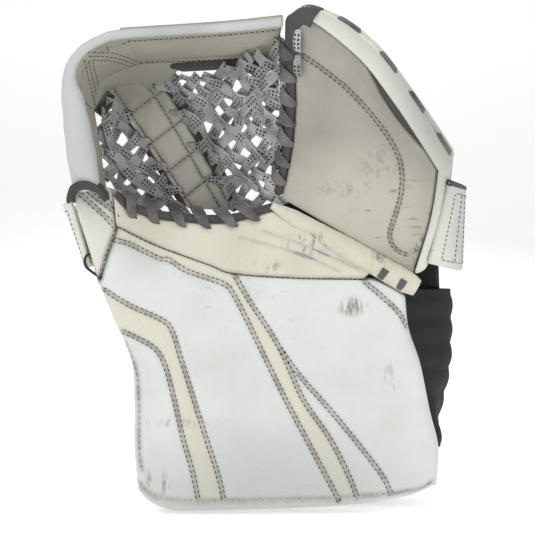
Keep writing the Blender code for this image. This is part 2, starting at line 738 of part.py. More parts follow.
def build_wrist_strap():
    low, high = STRAP_Z - STRAP_WIDTH / 2, STRAP_Z + STRAP_WIDTH / 2
    grow = SLEEVE_THICKNESS / 2 + HOOK_THICKNESS + 5 * GAP + WEBBING / 2
    rows = [[Vector((p.x, p.y, z)) for p in sleeve_path(z, grow)[8:40]] for z in spread(low, high, 4)]
    shell("wrist_strap", rows, WEBBING, WHITE)
    end_grow = grow + WEBBING + GAP
    rows = [[Vector((p.x, p.y, z)) for p in sleeve_path(z, end_grow)[8:12]] for z in spread(low, high, 3)]
    shell("wrist_strap_grip", rows, WEBBING * 0.8, BINDING)
    foot = sleeve_path(STRAP_Z, grow)[39]
    hang_on("wrist_strap_pivot", (foot.x, foot.y, STRAP_Z), pieces_named("wrist_strap", "wrist_strap_grip"))


def build_tabs():
    low = at_fingers(0.0965, 0.009, 0.004)
    high = at_fingers(0.0865, 0.052, 0.004)
    foot = through([low, (0.1000, -0.046, 0.000), (0.1045, -0.026, 0.001), (0.1030, -0.004, 0.003),
                    (0.0985, 0.012, 0.005)], 11)
    head = through([high, (0.0995, -0.062, 0.048), (0.1040, -0.040, 0.048), (0.1035, -0.012, 0.044),
                    (0.0965, 0.006, 0.040)], 11)
    shell("pinky_tab", across_rows(foot, head, 5), WEBBING, WHITE)
    hang_on("pinky_tab_pivot", (low + high) / 2, pieces_named("pinky_tab"))
    thumb_z = 0.002
    low = Vector((-0.1200, -0.050, thumb_z))
    high = Vector((-0.1290, -0.056, thumb_z + TAB_HEIGHT))
    foot = through([low, (-0.1250, -0.043, thumb_z), (-0.1270, -0.032, thumb_z), (-0.1235, -0.018, thumb_z)], 9)
    head = through([high, (-0.1335, -0.050, thumb_z + TAB_HEIGHT), (-0.1355, -0.038, thumb_z + TAB_HEIGHT),
                    (-0.1330, -0.022, thumb_z + TAB_HEIGHT)], 9)
    shell("thumb_tab", across_rows(foot, head, 5), WEBBING, WHITE)
    hang_on("thumb_tab_pivot", (low + high) / 2, pieces_named("thumb_tab"))


def pieces_named(*names):
    return [bpy.data.objects[name] for name in names]


def main():
    build_cuff()
    build_palm()
    build_thumb()
    build_welt()
    build_hand_side()
    fingers = build_fingers()
    hang_on("break_pivot", (BREAK_START + BREAK_END) / 2, pieces_named(*fingers))
    web = build_t()
    hang_on("web_pivot", (BREAK_START + BREAK_END) / 2, pieces_named(*web))
    build_wrist_strap()
    build_tabs()


main()
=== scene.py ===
# %% [markdown]
# # A goalie's catch glove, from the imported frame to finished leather
#
# A catch glove is a sandwich: a leather cover, foam and a stiff board behind it, and a soft lining
# towards the hand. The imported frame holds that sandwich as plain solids, with the joints that fold it.
# This lesson dresses the frame. Every piece goes where the frame says, and every visible piece is made
# the way its real counterpart is: padded covers that swell between their seams, rows of thread, flat
# laces that weave, and bindings that wrap an edge.

# %% Load the frame
import math

import bmesh
import bpy
import numpy as np
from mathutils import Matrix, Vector
from mathutils.bvhtree import BVHTree
from mathutils.kdtree import KDTree


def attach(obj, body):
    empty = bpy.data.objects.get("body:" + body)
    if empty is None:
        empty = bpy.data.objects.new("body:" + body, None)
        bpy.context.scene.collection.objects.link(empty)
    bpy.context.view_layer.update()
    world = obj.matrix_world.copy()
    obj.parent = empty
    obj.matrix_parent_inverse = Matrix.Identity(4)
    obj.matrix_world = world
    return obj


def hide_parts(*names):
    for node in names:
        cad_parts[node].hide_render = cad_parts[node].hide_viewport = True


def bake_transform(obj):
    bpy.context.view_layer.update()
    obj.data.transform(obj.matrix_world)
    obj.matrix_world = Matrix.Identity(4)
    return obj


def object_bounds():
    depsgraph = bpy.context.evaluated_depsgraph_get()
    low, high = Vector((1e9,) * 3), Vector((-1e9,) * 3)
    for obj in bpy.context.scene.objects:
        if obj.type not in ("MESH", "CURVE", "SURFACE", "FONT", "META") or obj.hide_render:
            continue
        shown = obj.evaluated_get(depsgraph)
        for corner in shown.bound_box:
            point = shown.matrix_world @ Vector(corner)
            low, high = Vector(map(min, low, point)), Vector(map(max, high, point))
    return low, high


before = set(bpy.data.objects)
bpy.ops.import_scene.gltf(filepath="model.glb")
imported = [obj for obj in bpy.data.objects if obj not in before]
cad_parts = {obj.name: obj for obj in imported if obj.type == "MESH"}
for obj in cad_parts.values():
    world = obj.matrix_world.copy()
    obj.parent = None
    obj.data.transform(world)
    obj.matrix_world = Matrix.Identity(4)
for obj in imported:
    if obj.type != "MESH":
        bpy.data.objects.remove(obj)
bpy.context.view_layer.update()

MM = 0.001

# %% [markdown]
# ## Camera, floor and light
#
# The camera looks straight at the pocket from just over half a metre away, level with the wrist. A close
# camera draws the finger tips, which lean towards it, larger than the cuff. The floor and the wall are
# one sheet that curves up behind the glove, so no corner shows. A large soft lamp above and to the left
# gives the seams their shading, a second one fills the right side, and the white world lights the rest.

# %% Camera
CAMERA_PLACE = Vector((-0.0135, -0.595, 0.0015))
camera_data = bpy.data.cameras.new("camera")
camera_data.lens = 61.7
camera_data.sensor_width = 36
camera = bpy.data.objects.new("camera", camera_data)
camera.location = CAMERA_PLACE
camera.rotation_euler = (math.radians(90), 0, 0)
bpy.context.scene.collection.objects.link(camera)
bpy.context.scene.camera = camera
bpy.context.scene.view_settings.view_transform = "Standard"
print("lens:", camera_data.lens, "mm, from", round(-CAMERA_PLACE.y, 3), "m")


# %% Soft lamps and a white world
def lamp(name, place, size, power):
    """A square area lamp that faces the glove."""
    data = bpy.data.lights.new(name, "AREA")
    data.size = size
    data.energy = power
    made = bpy.data.objects.new(name, data)
    made.location = place
    made.rotation_euler = (Vector((0, -0.03, 0)) - made.location).to_track_quat("-Z", "Y").to_euler()
    bpy.context.scene.collection.objects.link(made)
    print(name, power, "W")


lamp("key_lamp", Vector((-0.7, -0.95, 1.05)), 0.7, 9.7)
lamp("fill_lamp", Vector((1.0, -0.9, 0.35)), 1.0, 4.1)
lamp("back_lamp", Vector((0.2, 1.2, 0.9)), 1.0, 11.0)
world = bpy.data.worlds.new("studio")
world.use_nodes = True
world.node_tree.nodes["Background"].inputs["Color"].default_value = (1.0, 1.0, 1.0, 1.0)
world.node_tree.nodes["Background"].inputs["Strength"].default_value = 0.348
bpy.context.scene.world = world

# %% [markdown]
# ## Shader arithmetic
#
# A finish is mostly sums: so much grain, a little less where it is worn, more dirt near a seam. Written
# node by node they are hard to read, so a small class stands for one socket and turns Python's operators
# into Math nodes. Every other node comes from one method that takes its type, its settings and what feeds
# its sockets.


# %% One socket, and a material being made
class Wire:
    """The output of a node. Adding, multiplying and so on add Math nodes."""

    def __init__(self, finish, socket):
        self.finish = finish
        self.socket = socket

    def sum_of(self, operation, first, second=0.0):
        return self.finish.node("ShaderNodeMath", {"operation": operation}, {0: first, 1: second})

    def __add__(self, other):
        return self.sum_of("ADD", self, other)

    def __radd__(self, other):
        return self.sum_of("ADD", other, self)

    def __sub__(self, other):
        return self.sum_of("SUBTRACT", self, other)

    def __rsub__(self, other):
        return self.sum_of("SUBTRACT", other, self)

    def __mul__(self, other):
        return self.sum_of("MULTIPLY", self, other)

    def __rmul__(self, other):
        return self.sum_of("MULTIPLY", other, self)

    def __truediv__(self, other):
        return self.sum_of("DIVIDE", self, other)

    def above(self, low, high):
        """0 below low, 1 above high and a smooth step between them."""
        return self.finish.node(
            "ShaderNodeMapRange", {"interpolation_type": "SMOOTHSTEP"},
            {"Value": self, "From Min": low, "From Max": high},
        )

    def size(self):
        return self.sum_of("ABSOLUTE", self)

    def wave(self):
        return self.sum_of("SINE", self)

    def most(self, other):
        return self.sum_of("MAXIMUM", self, other)

    def least(self, other):
        return self.sum_of("MINIMUM", self, other)

    def repeat(self, length):
        """The value's place within a length that repeats, from 0 to length."""
        return self.finish.node("ShaderNodeMath", {"operation": "WRAP"}, {0: self, 1: length, 2: 0.0})


class Finish:
    """A material that is being put together, node by node."""

    def __init__(self, name):
        self.material = bpy.data.materials.new(name)
        self.material.use_nodes = True
        self.tree = self.material.node_tree
        self.shader = self.tree.nodes["Principled BSDF"]
        self.place = self.node("ShaderNodeTexCoord", out="Object")

    def feed(self, socket, value):
        if isinstance(value, Wire):
            self.tree.links.new(value.socket, socket)
        elif socket.type == "RGBA":
            socket.default_value = (*value, 1.0)
        else:
            socket.default_value = value

    def node(self, kind, settings=None, sockets=None, out=0):
        made = self.tree.nodes.new(kind)
        for name, value in (settings or {}).items():
            setattr(made, name, value)
        for name, value in (sockets or {}).items():
            self.feed(made.inputs[name], value)
        return Wire(self, made.outputs[out])

    def noise(self, scale, detail=2.0, rough=0.5, place=None):
        return self.node("ShaderNodeTexNoise", {}, {
            "Vector": place or self.place, "Scale": scale, "Detail": detail, "Roughness": rough,
        })

    def cells(self, scale, feature="F1", place=None):
        return self.node("ShaderNodeTexVoronoi", {"feature": feature},
                         {"Vector": place or self.place, "Scale": scale})

    def stretched(self, scale, turn=(0, 0, 0)):
        """Texture coordinates turned and then squeezed, for streaks."""
        return self.node("ShaderNodeMapping", {}, {"Vector": self.place, "Rotation": turn, "Scale": scale})

    def near(self, centre, reach):
        """1 at a spot and 0 outside an ellipsoid round it."""
        apart = self.node("ShaderNodeVectorMath", {"operation": "SUBTRACT"}, {0: self.place, 1: centre})
        scaled = self.node("ShaderNodeVectorMath", {"operation": "DIVIDE"}, {0: apart, 1: reach})
        length = self.node("ShaderNodeVectorMath", {"operation": "LENGTH"}, {0: scaled}, out="Value")
        return 1.0 - length.above(0.25, 1.0)

    def stored(self, name):
        return self.node("ShaderNodeAttribute", {"attribute_name": name}, out="Fac")

    def split(self, vector):
        """The three numbers of a vector."""
        made = self.node("ShaderNodeSeparateXYZ", {}, {0: vector})
        return [Wire(self, output) for output in made.socket.node.outputs]

    def mix(self, share, first, second):
        return self.node("ShaderNodeMix", {"data_type": "RGBA"}, {0: share, 6: first, 7: second}, out=2)

    def bumped(self, height, distance, under=None):
        sockets = {"Height": height, "Distance": distance, "Strength": 1.0}
        if under:
            sockets["Normal"] = under
        return self.node("ShaderNodeBump", {}, sockets)

    def done(self, colour, roughness, normal=None, **constants):
        self.feed(self.shader.inputs["Base Color"], colour)
        self.feed(self.shader.inputs["Roughness"], roughness)
        if normal:
            self.feed(self.shader.inputs["Normal"], normal)
        for name, value in constants.items():
            self.feed(self.shader.inputs[name.replace("_", " ")], value)
        print(self.material.name, "has", len(self.tree.nodes), "nodes")
        return self.material


# %% [markdown]
# ## Leather
#
# The glove is covered in coated leather. Its grain is a field of pebbles a millimetre across, flattened
# and shiny where the glove is rubbed. Fine creases run through it, and dirt gathers in them and along the
# seams. Three leathers share this recipe: a cool white on the cuff, a warm cream on the palm and inlays,
# and a scuffed one where the puck strikes, whose grey is painted shade. Broad patches of painted shading
# mix a leather darker where the glove lies in shade and lighter where light falls on it. Each mesh can
# carry two numbers at its vertices: "seam", which is 1 in a seam and falls to 0 beside it, and "inlay",
# the distance inside a strip of cream leather that is let into the white. A distance keeps the strip's
# edge sharp however coarse the mesh is.


# %% Leather finishes
def leather(name, colour, shade, inlay=None, grime=(0.23, 0.22, 0.19), wear=0.35, spots=(), painted_shading=()):
    finish = Finish(name)
    cloudy = finish.noise(22, 3.0)
    blotches = finish.noise(75, 4.0, 0.6)
    grain = finish.cells(950)
    fine = finish.noise(2200, 2.0)
    creases = finish.node(
        "ShaderNodeTexNoise", {"noise_type": "RIDGED_MULTIFRACTAL"},
        {"Vector": finish.place, "Scale": 42.0, "Detail": 3.0, "Roughness": 0.6, "Distortion": 0.3},
    )
    crease = creases.above(1.45, 2.0)
    rub = finish.noise(48, 3.0, 0.7, finish.stretched((1.0, 1.0, 4.1), (0.2, 0.7, 0.3)))
    seam = finish.stored("seam")
    tone = finish.mix(cloudy.above(0.35, 0.7) * 0.65, colour, shade)
    if inlay:
        tone = finish.mix(finish.stored("inlay").above(-0.0001, 0.0001), tone, inlay)
    # Painted shading: each patch mixes in a darker colour where the glove lies in shade, or a lighter one
    # where light falls on it.
    for centre, reach, shading_colour, share in painted_shading:
        tone = finish.mix(finish.near(centre, reach) * share, tone, shading_colour)
    tone = finish.mix(blotches.above(0.56, 0.74) * 0.14 + crease * 0.1, tone, shade)
    dirt = (seam * 0.45 + seam * blotches.above(0.42, 0.62) * 0.35).least(0.8)
    rubbed = rub.above(0.6, 0.76) * finish.noise(9, 2.0).above(0.48, 0.64) * wear
    specks = (1.0 - finish.cells(210).above(0.05, 0.1)) * blotches.above(0.54, 0.62) * (wear * 1.2)
    marks = rubbed.most(specks)
    streaks = finish.noise(230, 4.0, 0.75, finish.stretched((1.0, 1.0, 0.22), (0.0, 0.9, 0.0)))
    for centre, reach, strength in spots:
        spot = finish.near(centre, reach) * streaks.above(0.48, 0.62) * strength
        marks = marks.most(spot)
    tone = finish.mix(dirt.most(marks), tone, grime)
    height = 0.55 * grain + 0.2 * fine + 0.9 * crease
    normal = finish.bumped(height, 0.00016)
    normal = finish.bumped(blotches, 0.0007, normal)
    roughness = 0.46 + 0.16 * blotches + 0.15 * marks.above(0.1, 0.6) - 0.1 * cloudy
    return finish.done(tone, roughness, normal, Specular_IOR_Level=0.42)


# %% Tones of the three leathers
WHITE_TONE = (0.745, 0.77, 0.75)
WHITE_SHADE = (0.64, 0.655, 0.62)
CREAM_TONE = (0.725, 0.7, 0.585)
CREAM_SHADE = (0.64, 0.6, 0.475)
FACE_SHADED_TONE = (0.405, 0.392, 0.34)
FACE_SHADED_DARKER = (0.29, 0.278, 0.237)
T_SHADED_TONE = (0.43, 0.418, 0.352)
T_SHADE = (0.35, 0.338, 0.28)
# The white leather's three darker patches are painted shade: at the cuff's foot, over the fingers' right
# side and on the little finger's side.
white_leather = leather("white_leather", WHITE_TONE, WHITE_SHADE, inlay=CREAM_TONE, spots=(
    ((0.037, -0.045, -0.022), (0.012, 0.03, 0.008), 0.9),
    ((0.06, -0.045, -0.065), (0.008, 0.03, 0.012), 0.5),
    ((-0.07, -0.045, -0.092), (0.035, 0.03, 0.004), 0.45),
    ((-0.08, -0.045, -0.128), (0.012, 0.03, 0.012), 0.7),
), painted_shading=(
    ((-0.01, -0.045, -0.15), (0.13, 0.06, 0.075), (0.47, 0.485, 0.465), 0.65),
    ((0.09, -0.08, 0.08), (0.06, 0.07, 0.08), (0.42, 0.42, 0.385), 0.65),
    ((0.104, -0.03, 0.024), (0.02, 0.07, 0.045), (0.44, 0.465, 0.455), 0.8),
))
cream_leather = leather("cream_leather", CREAM_TONE, CREAM_SHADE, spots=(
    ((0.01, -0.045, 0.016), (0.02, 0.03, 0.01), 1.0),
    ((-0.012, -0.045, 0.004), (0.012, 0.03, 0.008), 0.6),
    ((0.052, -0.05, 0.006), (0.012, 0.03, 0.01), 0.8),
))
# The finger face's grey tone is painted shade, for a face that leans away from the lamp above; its scuffs
# and streaks are wear, and its patch near the break is painted light.
worn_leather = leather("worn_leather", FACE_SHADED_TONE, FACE_SHADED_DARKER, wear=0.85, spots=(
    ((0.03, -0.065, 0.048), (0.024, 0.03, 0.008), 0.5),
    ((0.075, -0.06, 0.014), (0.007, 0.03, 0.013), 1.0),
    ((0.028, -0.11, 0.138), (0.008, 0.03, 0.004), 1.0),
    ((0.052, -0.075, 0.062), (0.02, 0.03, 0.016), 0.4),
), painted_shading=(
    ((0.04, -0.055, 0.03), (0.075, 0.06, 0.062), (0.6, 0.58, 0.495), 0.85),
))
# The T's dark grey is painted shade, for walls that face down, away from the lamp above, and for the stem's
# top in the top wall's shadow; the stem's middle is painted light.
t_shaded_leather = leather("t_shaded_leather", T_SHADED_TONE, T_SHADE, wear=0.45, painted_shading=(
    ((-0.075, 0.005, 0.075), (0.075, 0.03, 0.07), (0.74, 0.72, 0.63), 0.75),
))
roll_leather = leather("roll_leather", (0.56, 0.58, 0.57), (0.4, 0.41, 0.39), wear=0.8)

# %% [markdown]
# ## Cloth, lace, thread and the hidden layers
#
# Woven goods are two sets of threads that pass over and under each other, so their relief is the larger
# of two waves at right angles. The skate lace that fills the pocket is flat and braided on the slant, with
# groups of black tracer dots; its mesh carries its own length and width, in metres, as a UV map, so the
# braid follows every twist.


# %% Woven finishes
def woven(name, colour, shade, pitch, roughness=0.85, grime=0.3):
    finish = Finish(name)
    across, up, deep = finish.split(finish.place)
    turn = 2 * math.pi / pitch
    warp = ((across + deep) * turn).wave()
    weft = (up * turn).wave()
    relief = warp * weft * 0.5 + 0.5
    cloudy = finish.noise(35, 4.0, 0.6)
    tone = finish.mix(relief * 0.35 + cloudy.above(0.4, 0.7) * grime, colour, shade)
    normal = finish.bumped(relief + 0.6 * cloudy, 0.00018)
    return finish.done(tone, roughness - 0.1 * relief, normal, Specular_IOR_Level=0.3)


# %% Flat lace
def lace(name, colour, shade, dots):
    finish = Finish(name)
    flat = finish.node("ShaderNodeUVMap", {"uv_map": "lace"})
    along, side, _ = finish.split(flat)
    braid = ((along + side) * 2600).wave().most(((along - side) * 2600).wave())
    tone = finish.mix(finish.noise(60, 4.0, 0.6).above(0.35, 0.68), colour, shade)
    tone = finish.mix(braid * 0.16 + 0.1, tone, (0.1, 0.1, 0.1))
    if dots:
        step = along.repeat(0.017)
        column = (step.repeat(0.0022) - 0.0011).size()
        row = ((side.size() - 0.0011).size()).most(column)
        dot = (1.0 - row.above(0.0005, 0.00066)) * (1.0 - step.above(0.0087, 0.0089))
        tone = finish.mix(dot, tone, (0.012, 0.012, 0.013))
    normal = finish.bumped(braid, 0.00016)
    return finish.done(tone, 0.62, normal, Specular_IOR_Level=0.35)


skate_lace = lace("skate_lace", (0.64, 0.632, 0.645), (0.33, 0.323, 0.328), True)
edge_lace = lace("edge_lace", (0.215, 0.208, 0.205), (0.08, 0.078, 0.076), False)
dark_binding = woven("dark_binding", (0.095, 0.097, 0.092), (0.038, 0.04, 0.038), 0.0011, 0.75)
black_nylon = woven("black_nylon", (0.03, 0.034, 0.034), (0.014, 0.016, 0.016), 0.0009, 0.72)
white_webbing = woven("white_webbing", (0.66, 0.66, 0.63), (0.46, 0.45, 0.41), 0.0016, 0.8)
hook_tape = woven("hook_tape", (0.03, 0.03, 0.031), (0.012, 0.012, 0.012), 0.0016, 0.95, 0.1)
thread = woven("thread", (0.07, 0.064, 0.056), (0.035, 0.031, 0.027), 0.0006, 0.7)
pale_thread = woven("pale_thread", (0.55, 0.54, 0.5), (0.36, 0.35, 0.31), 0.0006, 0.7)


# %% Foam and board
def plain(name, colour, shade, scale, roughness, depth):
    """A hidden layer: foam or board, with its own fine relief."""
    finish = Finish(name)
    pores = finish.cells(scale)
    tone = finish.mix(pores * 0.6 + finish.noise(30, 3.0) * 0.3, colour, shade)
    return finish.done(tone, roughness, finish.bumped(pores, depth))


foam = plain("foam", (0.42, 0.43, 0.45), (0.27, 0.28, 0.3), 700, 0.92, 0.0003)
plastic_board = plain("plastic_board", (0.1, 0.1, 0.11), (0.06, 0.06, 0.07), 260, 0.42, 0.00008)

# %% [markdown]
# ## Curves and sheets
#
# The glove's panels are cut from flat leather, so each one starts as four edge curves. A Coons patch
# fills them: it blends the curve opposite each point, so every row and column runs true to the edges.
# The same curves shape the solids of the frame, so a panel made from them lands exactly on its solid.


# %% Curves
def spread(start, end, count):
    return np.linspace(start, end, count)


def smooth(value):
    value = np.clip(value, 0.0, 1.0)
    return value * value * (3 - 2 * value)


def travelled_along(points):
    """How far along a line each of its points is."""
    return np.concatenate([[0.0], np.cumsum(np.linalg.norm(np.diff(points, axis=0), axis=1))])


def length_of(points):
    return np.linalg.norm(np.diff(points, axis=0), axis=1).sum()


def along(points, shares, values=None):
    """The points at these shares of a line's length, or the values that its points have there."""
    points = np.asarray(points, float)
    distance = travelled_along(points)
    wanted = np.asarray(shares) * distance[-1]
    columns = (points if values is None else values).T
    return np.stack([np.interp(wanted, distance, column) for column in columns], axis=1)


# %% Smooth lines
def closely(line, step, least=3):
    """The line again, with a point about every step."""
    return along(line, spread(0, 1, max(least, int(length_of(line) / step))))


def through(points, count=97):
    """A smooth curve through the points, read at equal steps."""
    points = np.asarray(points, float)
    if len(points) > 2:
        ends = np.vstack([2 * points[0] - points[1], points, 2 * points[-1] - points[-2]])
        t = spread(0, 1, 17)[:-1, None]
        runs = [
            0.5 * (2 * a + (b - z) * t + (2 * z - 5 * a + 4 * b - y) * t ** 2
                   + (3 * a - z - 3 * b + y) * t ** 3)
            for z, a, b, y in zip(ends, ends[1:], ends[2:], ends[3:])
        ]
        points = np.vstack(runs + [points[-1:]])
    return along(points, spread(0, 1, count))


def joined(*lines):
    """Lines laid end to end, with each shared end point once."""
    return np.vstack([lines[0]] + [line[1:] for line in lines[1:]])


def beside(points, distance):
    """A flat line moved to its right-hand side."""
    tangent = np.gradient(points, axis=0)
    tangent /= np.linalg.norm(tangent, axis=1)[:, None]
    return points + np.stack([tangent[:, 1], -tangent[:, 0]], axis=1) * distance


# %% Patches
def steps(length, step, rim=0.0, fine=6):
    """Shares from 0 to 1, a step apart, and crowded where a rim of that radius turns at either end."""
    inner = spread(rim, length - rim, max(3, int(length / step)))
    if rim:
        turn = rim * (1 - np.cos(spread(0, math.pi / 2, fine)[:-1]))
        inner = np.concatenate([turn, inner, length - turn[::-1]])
    return inner / length


def patch(bottom, top, left, right, us, vs):
    """The Coons patch of four edges, as an array of rows from bottom to top."""
    u, v = np.asarray(us)[None, :, None], np.asarray(vs)[:, None, None]
    ruled = along(bottom, us)[None] * (1 - v) + along(top, us)[None] * v
    crossed = along(left, vs)[:, None] * (1 - u) + along(right, vs)[:, None] * u
    corners = (bottom[0] * (1 - u) + bottom[-1] * u) * (1 - v) + (top[0] * (1 - u) + top[-1] * u) * v
    return ruled + crossed - corners


def unit(vectors):
    """Each vector at a length of one."""
    vectors = np.asarray(vectors, float)
    return vectors / np.maximum(np.linalg.norm(vectors, axis=-1, keepdims=True), 1e-12)


def outward_of(grid):
    """The unit normal at every point of a grid."""
    return unit(np.cross(np.gradient(grid, axis=1), np.gradient(grid, axis=0)))


# %% [markdown]
# ## Meshes
#
# A padded panel is a closed body: a face, a back, and a wall between them that bows out. Its face rolls
# over at an open edge, dips sharply at a sewn one, and is drawn in along every seam. These dips are plain
# distances, so they can be added up before any mesh exists. What the padding does between the seams is
# left to a cloth simulation: the face is a cloth pinned along its seams, air pressure blows it up for
# twenty frames, and no point may travel further than the padding could lift it.


# %% Meshes from grids
def mesh_piece(name, points, faces):
    """An object made of points and faces, with its normals turned outward."""
    mesh = bpy.data.meshes.new(name)
    mesh.from_pydata(np.asarray(points).tolist(), [], [tuple(face) for face in faces])
    work = bmesh.new()
    work.from_mesh(mesh)
    bmesh.ops.recalc_face_normals(work, faces=work.faces[:])
    work.to_mesh(mesh)
    work.free()
    mesh.shade_smooth()
    made = bpy.data.objects.new(name, mesh)
    bpy.context.scene.collection.objects.link(made)
    return made


def grid_faces(rows, columns, first=0):
    """The four-sided faces between a grid's points."""
    start = (np.arange(rows - 1)[:, None] * columns + np.arange(columns - 1)[None]).ravel() + first
    return np.stack([start, start + 1, start + columns + 1, start + columns], axis=1).tolist()


# %% Tubes
def tube_faces(rings, sides, first=0):
    """The faces of a tube of rings, with a cap at each end."""
    index = first + np.arange(rings * sides).reshape(rings, sides)
    turned = np.roll(index, -1, axis=1)
    faces = np.stack([index[:-1], turned[:-1], turned[1:], index[1:]], axis=-1).reshape(-1, 4).tolist()
    return faces + [index[0, ::-1].tolist(), index[-1].tolist()]


def ring_turns(sides):
    """The angles of a ring's points."""
    return spread(0, 2 * math.pi, sides + 1)[:-1]


def rounded_box(sides, across_power, thick_power):
    """The outline of a box with rounded corners: the smaller a power, the flatter that side."""
    turns = ring_turns(sides)
    across = np.sign(np.cos(turns)) * np.abs(np.cos(turns)) ** across_power
    thick = np.sign(np.sin(turns)) * np.abs(np.sin(turns)) ** thick_power
    return across, thick


# %% Closed panels
def rim_of(rows, columns):
    """Indices of a grid's edge points, all the way round."""
    index = np.arange(rows * columns).reshape(rows, columns)
    return np.concatenate([index[0, :-1], index[:-1, -1], index[-1, :0:-1], index[:0:-1, 0]])


def closed(name, front, back, bow=0.0, loops=4):
    """A closed body between two grids, with a wall that bows out between them."""
    rows, columns = front.shape[:2]
    count = rows * columns
    rim = rim_of(rows, columns)
    start, end = front.reshape(-1, 3)[rim], back.reshape(-1, 3)[rim]
    tangent = np.roll(start, -1, axis=0) - np.roll(start, 1, axis=0)
    out = unit(np.cross(tangent, end - start))
    if (out * (start - start.mean(axis=0))).sum() < 0:
        out = -out
    points = [front.reshape(-1, 3), back.reshape(-1, 3)]
    faces = grid_faces(rows, columns) + grid_faces(rows, columns, count)
    ring = rim
    for loop in range(1, loops + 2):
        share = loop / (loops + 1)
        if loop <= loops:
            points.append(start * (1 - share) + end * share + out * (bow * math.sin(math.pi * share)))
            following = 2 * count + (loop - 1) * len(rim) + np.arange(len(rim))
        else:
            following = rim + count
        faces += np.stack([ring, np.roll(ring, -1), np.roll(following, -1), following], axis=1).tolist()
        ring = following
    return mesh_piece(name, np.vstack(points), faces)


def store(piece, name, values, rest=0.0):
    """Keeps one number for each of the face's points, and rest at all others."""
    full = np.full(len(piece.data.vertices), rest, np.float32)
    full[:values.size] = values.ravel()
    piece.data.attributes.new(name, "FLOAT", "POINT").data.foreach_set("value", full)


def mark_seam(piece, gap, width=1.6 * MM):
    """Stores how close each of the face's points is to a seam: 1 in it, 0 beside it."""
    store(piece, "seam", np.exp(-(gap / width) ** 2))


# %% Rims, seams and padding
def travelled(grid, axis):
    """How far along its row or column each point is, from the start and from the end."""
    gaps = np.linalg.norm(np.diff(grid, axis=axis), axis=-1)
    zero = np.zeros_like(np.take(gaps, [0], axis=axis))
    start = np.concatenate([zero, np.cumsum(gaps, axis=axis)], axis=axis)
    return start, np.take(start, [-1], axis=axis) - start


def rolled(grid, bottom=0.0, top=0.0, left=0.0, right=0.0):
    """How far the face drops as it rolls over each edge, for the radius given there."""
    from_left, from_right = travelled(grid, 1)
    from_bottom, from_top = travelled(grid, 0)
    drop = np.zeros(grid.shape[:2])
    edges = ((from_bottom, bottom), (from_top, top), (from_left, left), (from_right, right))
    for distance, radius in edges:
        if radius:
            inside = np.clip(radius - distance, 0, radius)
            drop = np.maximum(drop, radius - np.sqrt(radius ** 2 - inside ** 2))
    return drop


def rolled_all(grid, radius):
    """How far the face drops when all four of its edges have the same roll."""
    return rolled(grid, radius, radius, radius, radius)


# %% Distances from lines
def apart(grid, lines):
    """Distance of every grid point from the nearest of the lines."""
    dense = np.vstack([closely(line, 0.7 * MM, 2) for line in lines])
    level = [(0, 0), (0, 3 - dense.shape[1])]
    tree = KDTree(len(dense))
    for index, point in enumerate(np.pad(dense, level)):
        tree.insert(point, index)
    tree.balance()
    flat = np.pad(grid.reshape(-1, grid.shape[-1]), level)
    return np.array([tree.find(point)[2] for point in flat]).reshape(grid.shape[:2])


def drawn_in(distance, groove=0.5 * MM, reach=0.8 * MM, pull=0.7 * MM, width=5 * MM):
    """The dip beside a seam: a narrow groove in a wide hollow."""
    return groove * np.exp(-(distance / reach) ** 2) + pull * np.exp(-(distance / width) ** 2)


# %% Padding
def blown(front, held, cap, pressure=4.0, every=4):
    """What cloth simulation adds to a face that is pinned where held is true, as offsets of its points."""
    rows, columns = front.shape[:2]
    pick_rows = np.unique(np.append(np.arange(0, rows, every), rows - 1))
    pick_columns = np.unique(np.append(np.arange(0, columns, every), columns - 1))
    coarse = front[np.ix_(pick_rows, pick_columns)]
    pinned = held[np.ix_(pick_rows, pick_columns)].copy()
    pinned[[0, -1]] = True
    pinned[:, [0, -1]] = True
    faces = [face[::-1] for face in grid_faces(*coarse.shape[:2])]
    mesh = bpy.data.meshes.new("cloth")
    mesh.from_pydata(coarse.reshape(-1, 3).tolist(), [], faces)
    trial = bpy.data.objects.new("cloth", mesh)
    bpy.context.scene.collection.objects.link(trial)
    group = trial.vertex_groups.new(name="sewn")
    group.add(np.flatnonzero(pinned.ravel()).tolist(), 1.0, "REPLACE")
    cloth = trial.modifiers.new("cloth", "CLOTH")
    cloth.settings.vertex_group_mass = "sewn"
    cloth.settings.effector_weights.gravity = 0.0
    cloth.settings.use_pressure = True
    cloth.settings.uniform_pressure_force = pressure
    cloth.settings.quality = 6
    for number in range(1, 21):
        bpy.context.scene.frame_set(number)
    shaped = trial.evaluated_get(bpy.context.evaluated_depsgraph_get()).data
    moved = np.array([vertex.co for vertex in shaped.vertices]).reshape(coarse.shape) - coarse
    bpy.data.objects.remove(trial, do_unlink=True)
    bpy.context.scene.frame_set(1)
    travel = np.linalg.norm(moved, axis=-1, keepdims=True)
    moved *= np.minimum(1.0, cap / np.maximum(travel, 1e-9))
    for axis, picked, full in ((0, pick_rows, rows), (1, pick_columns, columns)):
        moved = np.apply_along_axis(lambda line: np.interp(np.arange(full), picked, line), axis, moved)
    print("cloth lifted a face by up to", round(travel.max() / MM, 1), "mm, kept to", round(cap / MM, 1))
    return moved


def dressed(grid, drop, direction, held, cap, every=4):
    """A face that dips by drop, and swells between the places where it is held."""
    face = grid + drop[..., None] * direction
    return face + blown(face, held, cap, every=every)


def keep(piece, body, finish, *stands_for):
    """Gives a piece its finish and its body, and hides the frame's solids that it stands for.

    The web isn't one body's, as it reaches from the cuff to the fingers: what belongs to it stays on no
    body, with its place baked into its points.
    """
    piece.data.materials.clear()
    piece.data.materials.append(finish)
    if body == "web":
        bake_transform(piece)
    else:
        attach(piece, body)
    if stands_for:
        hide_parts(*stands_for)
    print(piece.name, "on", body, "has", len(piece.data.vertices), "points")
    return piece


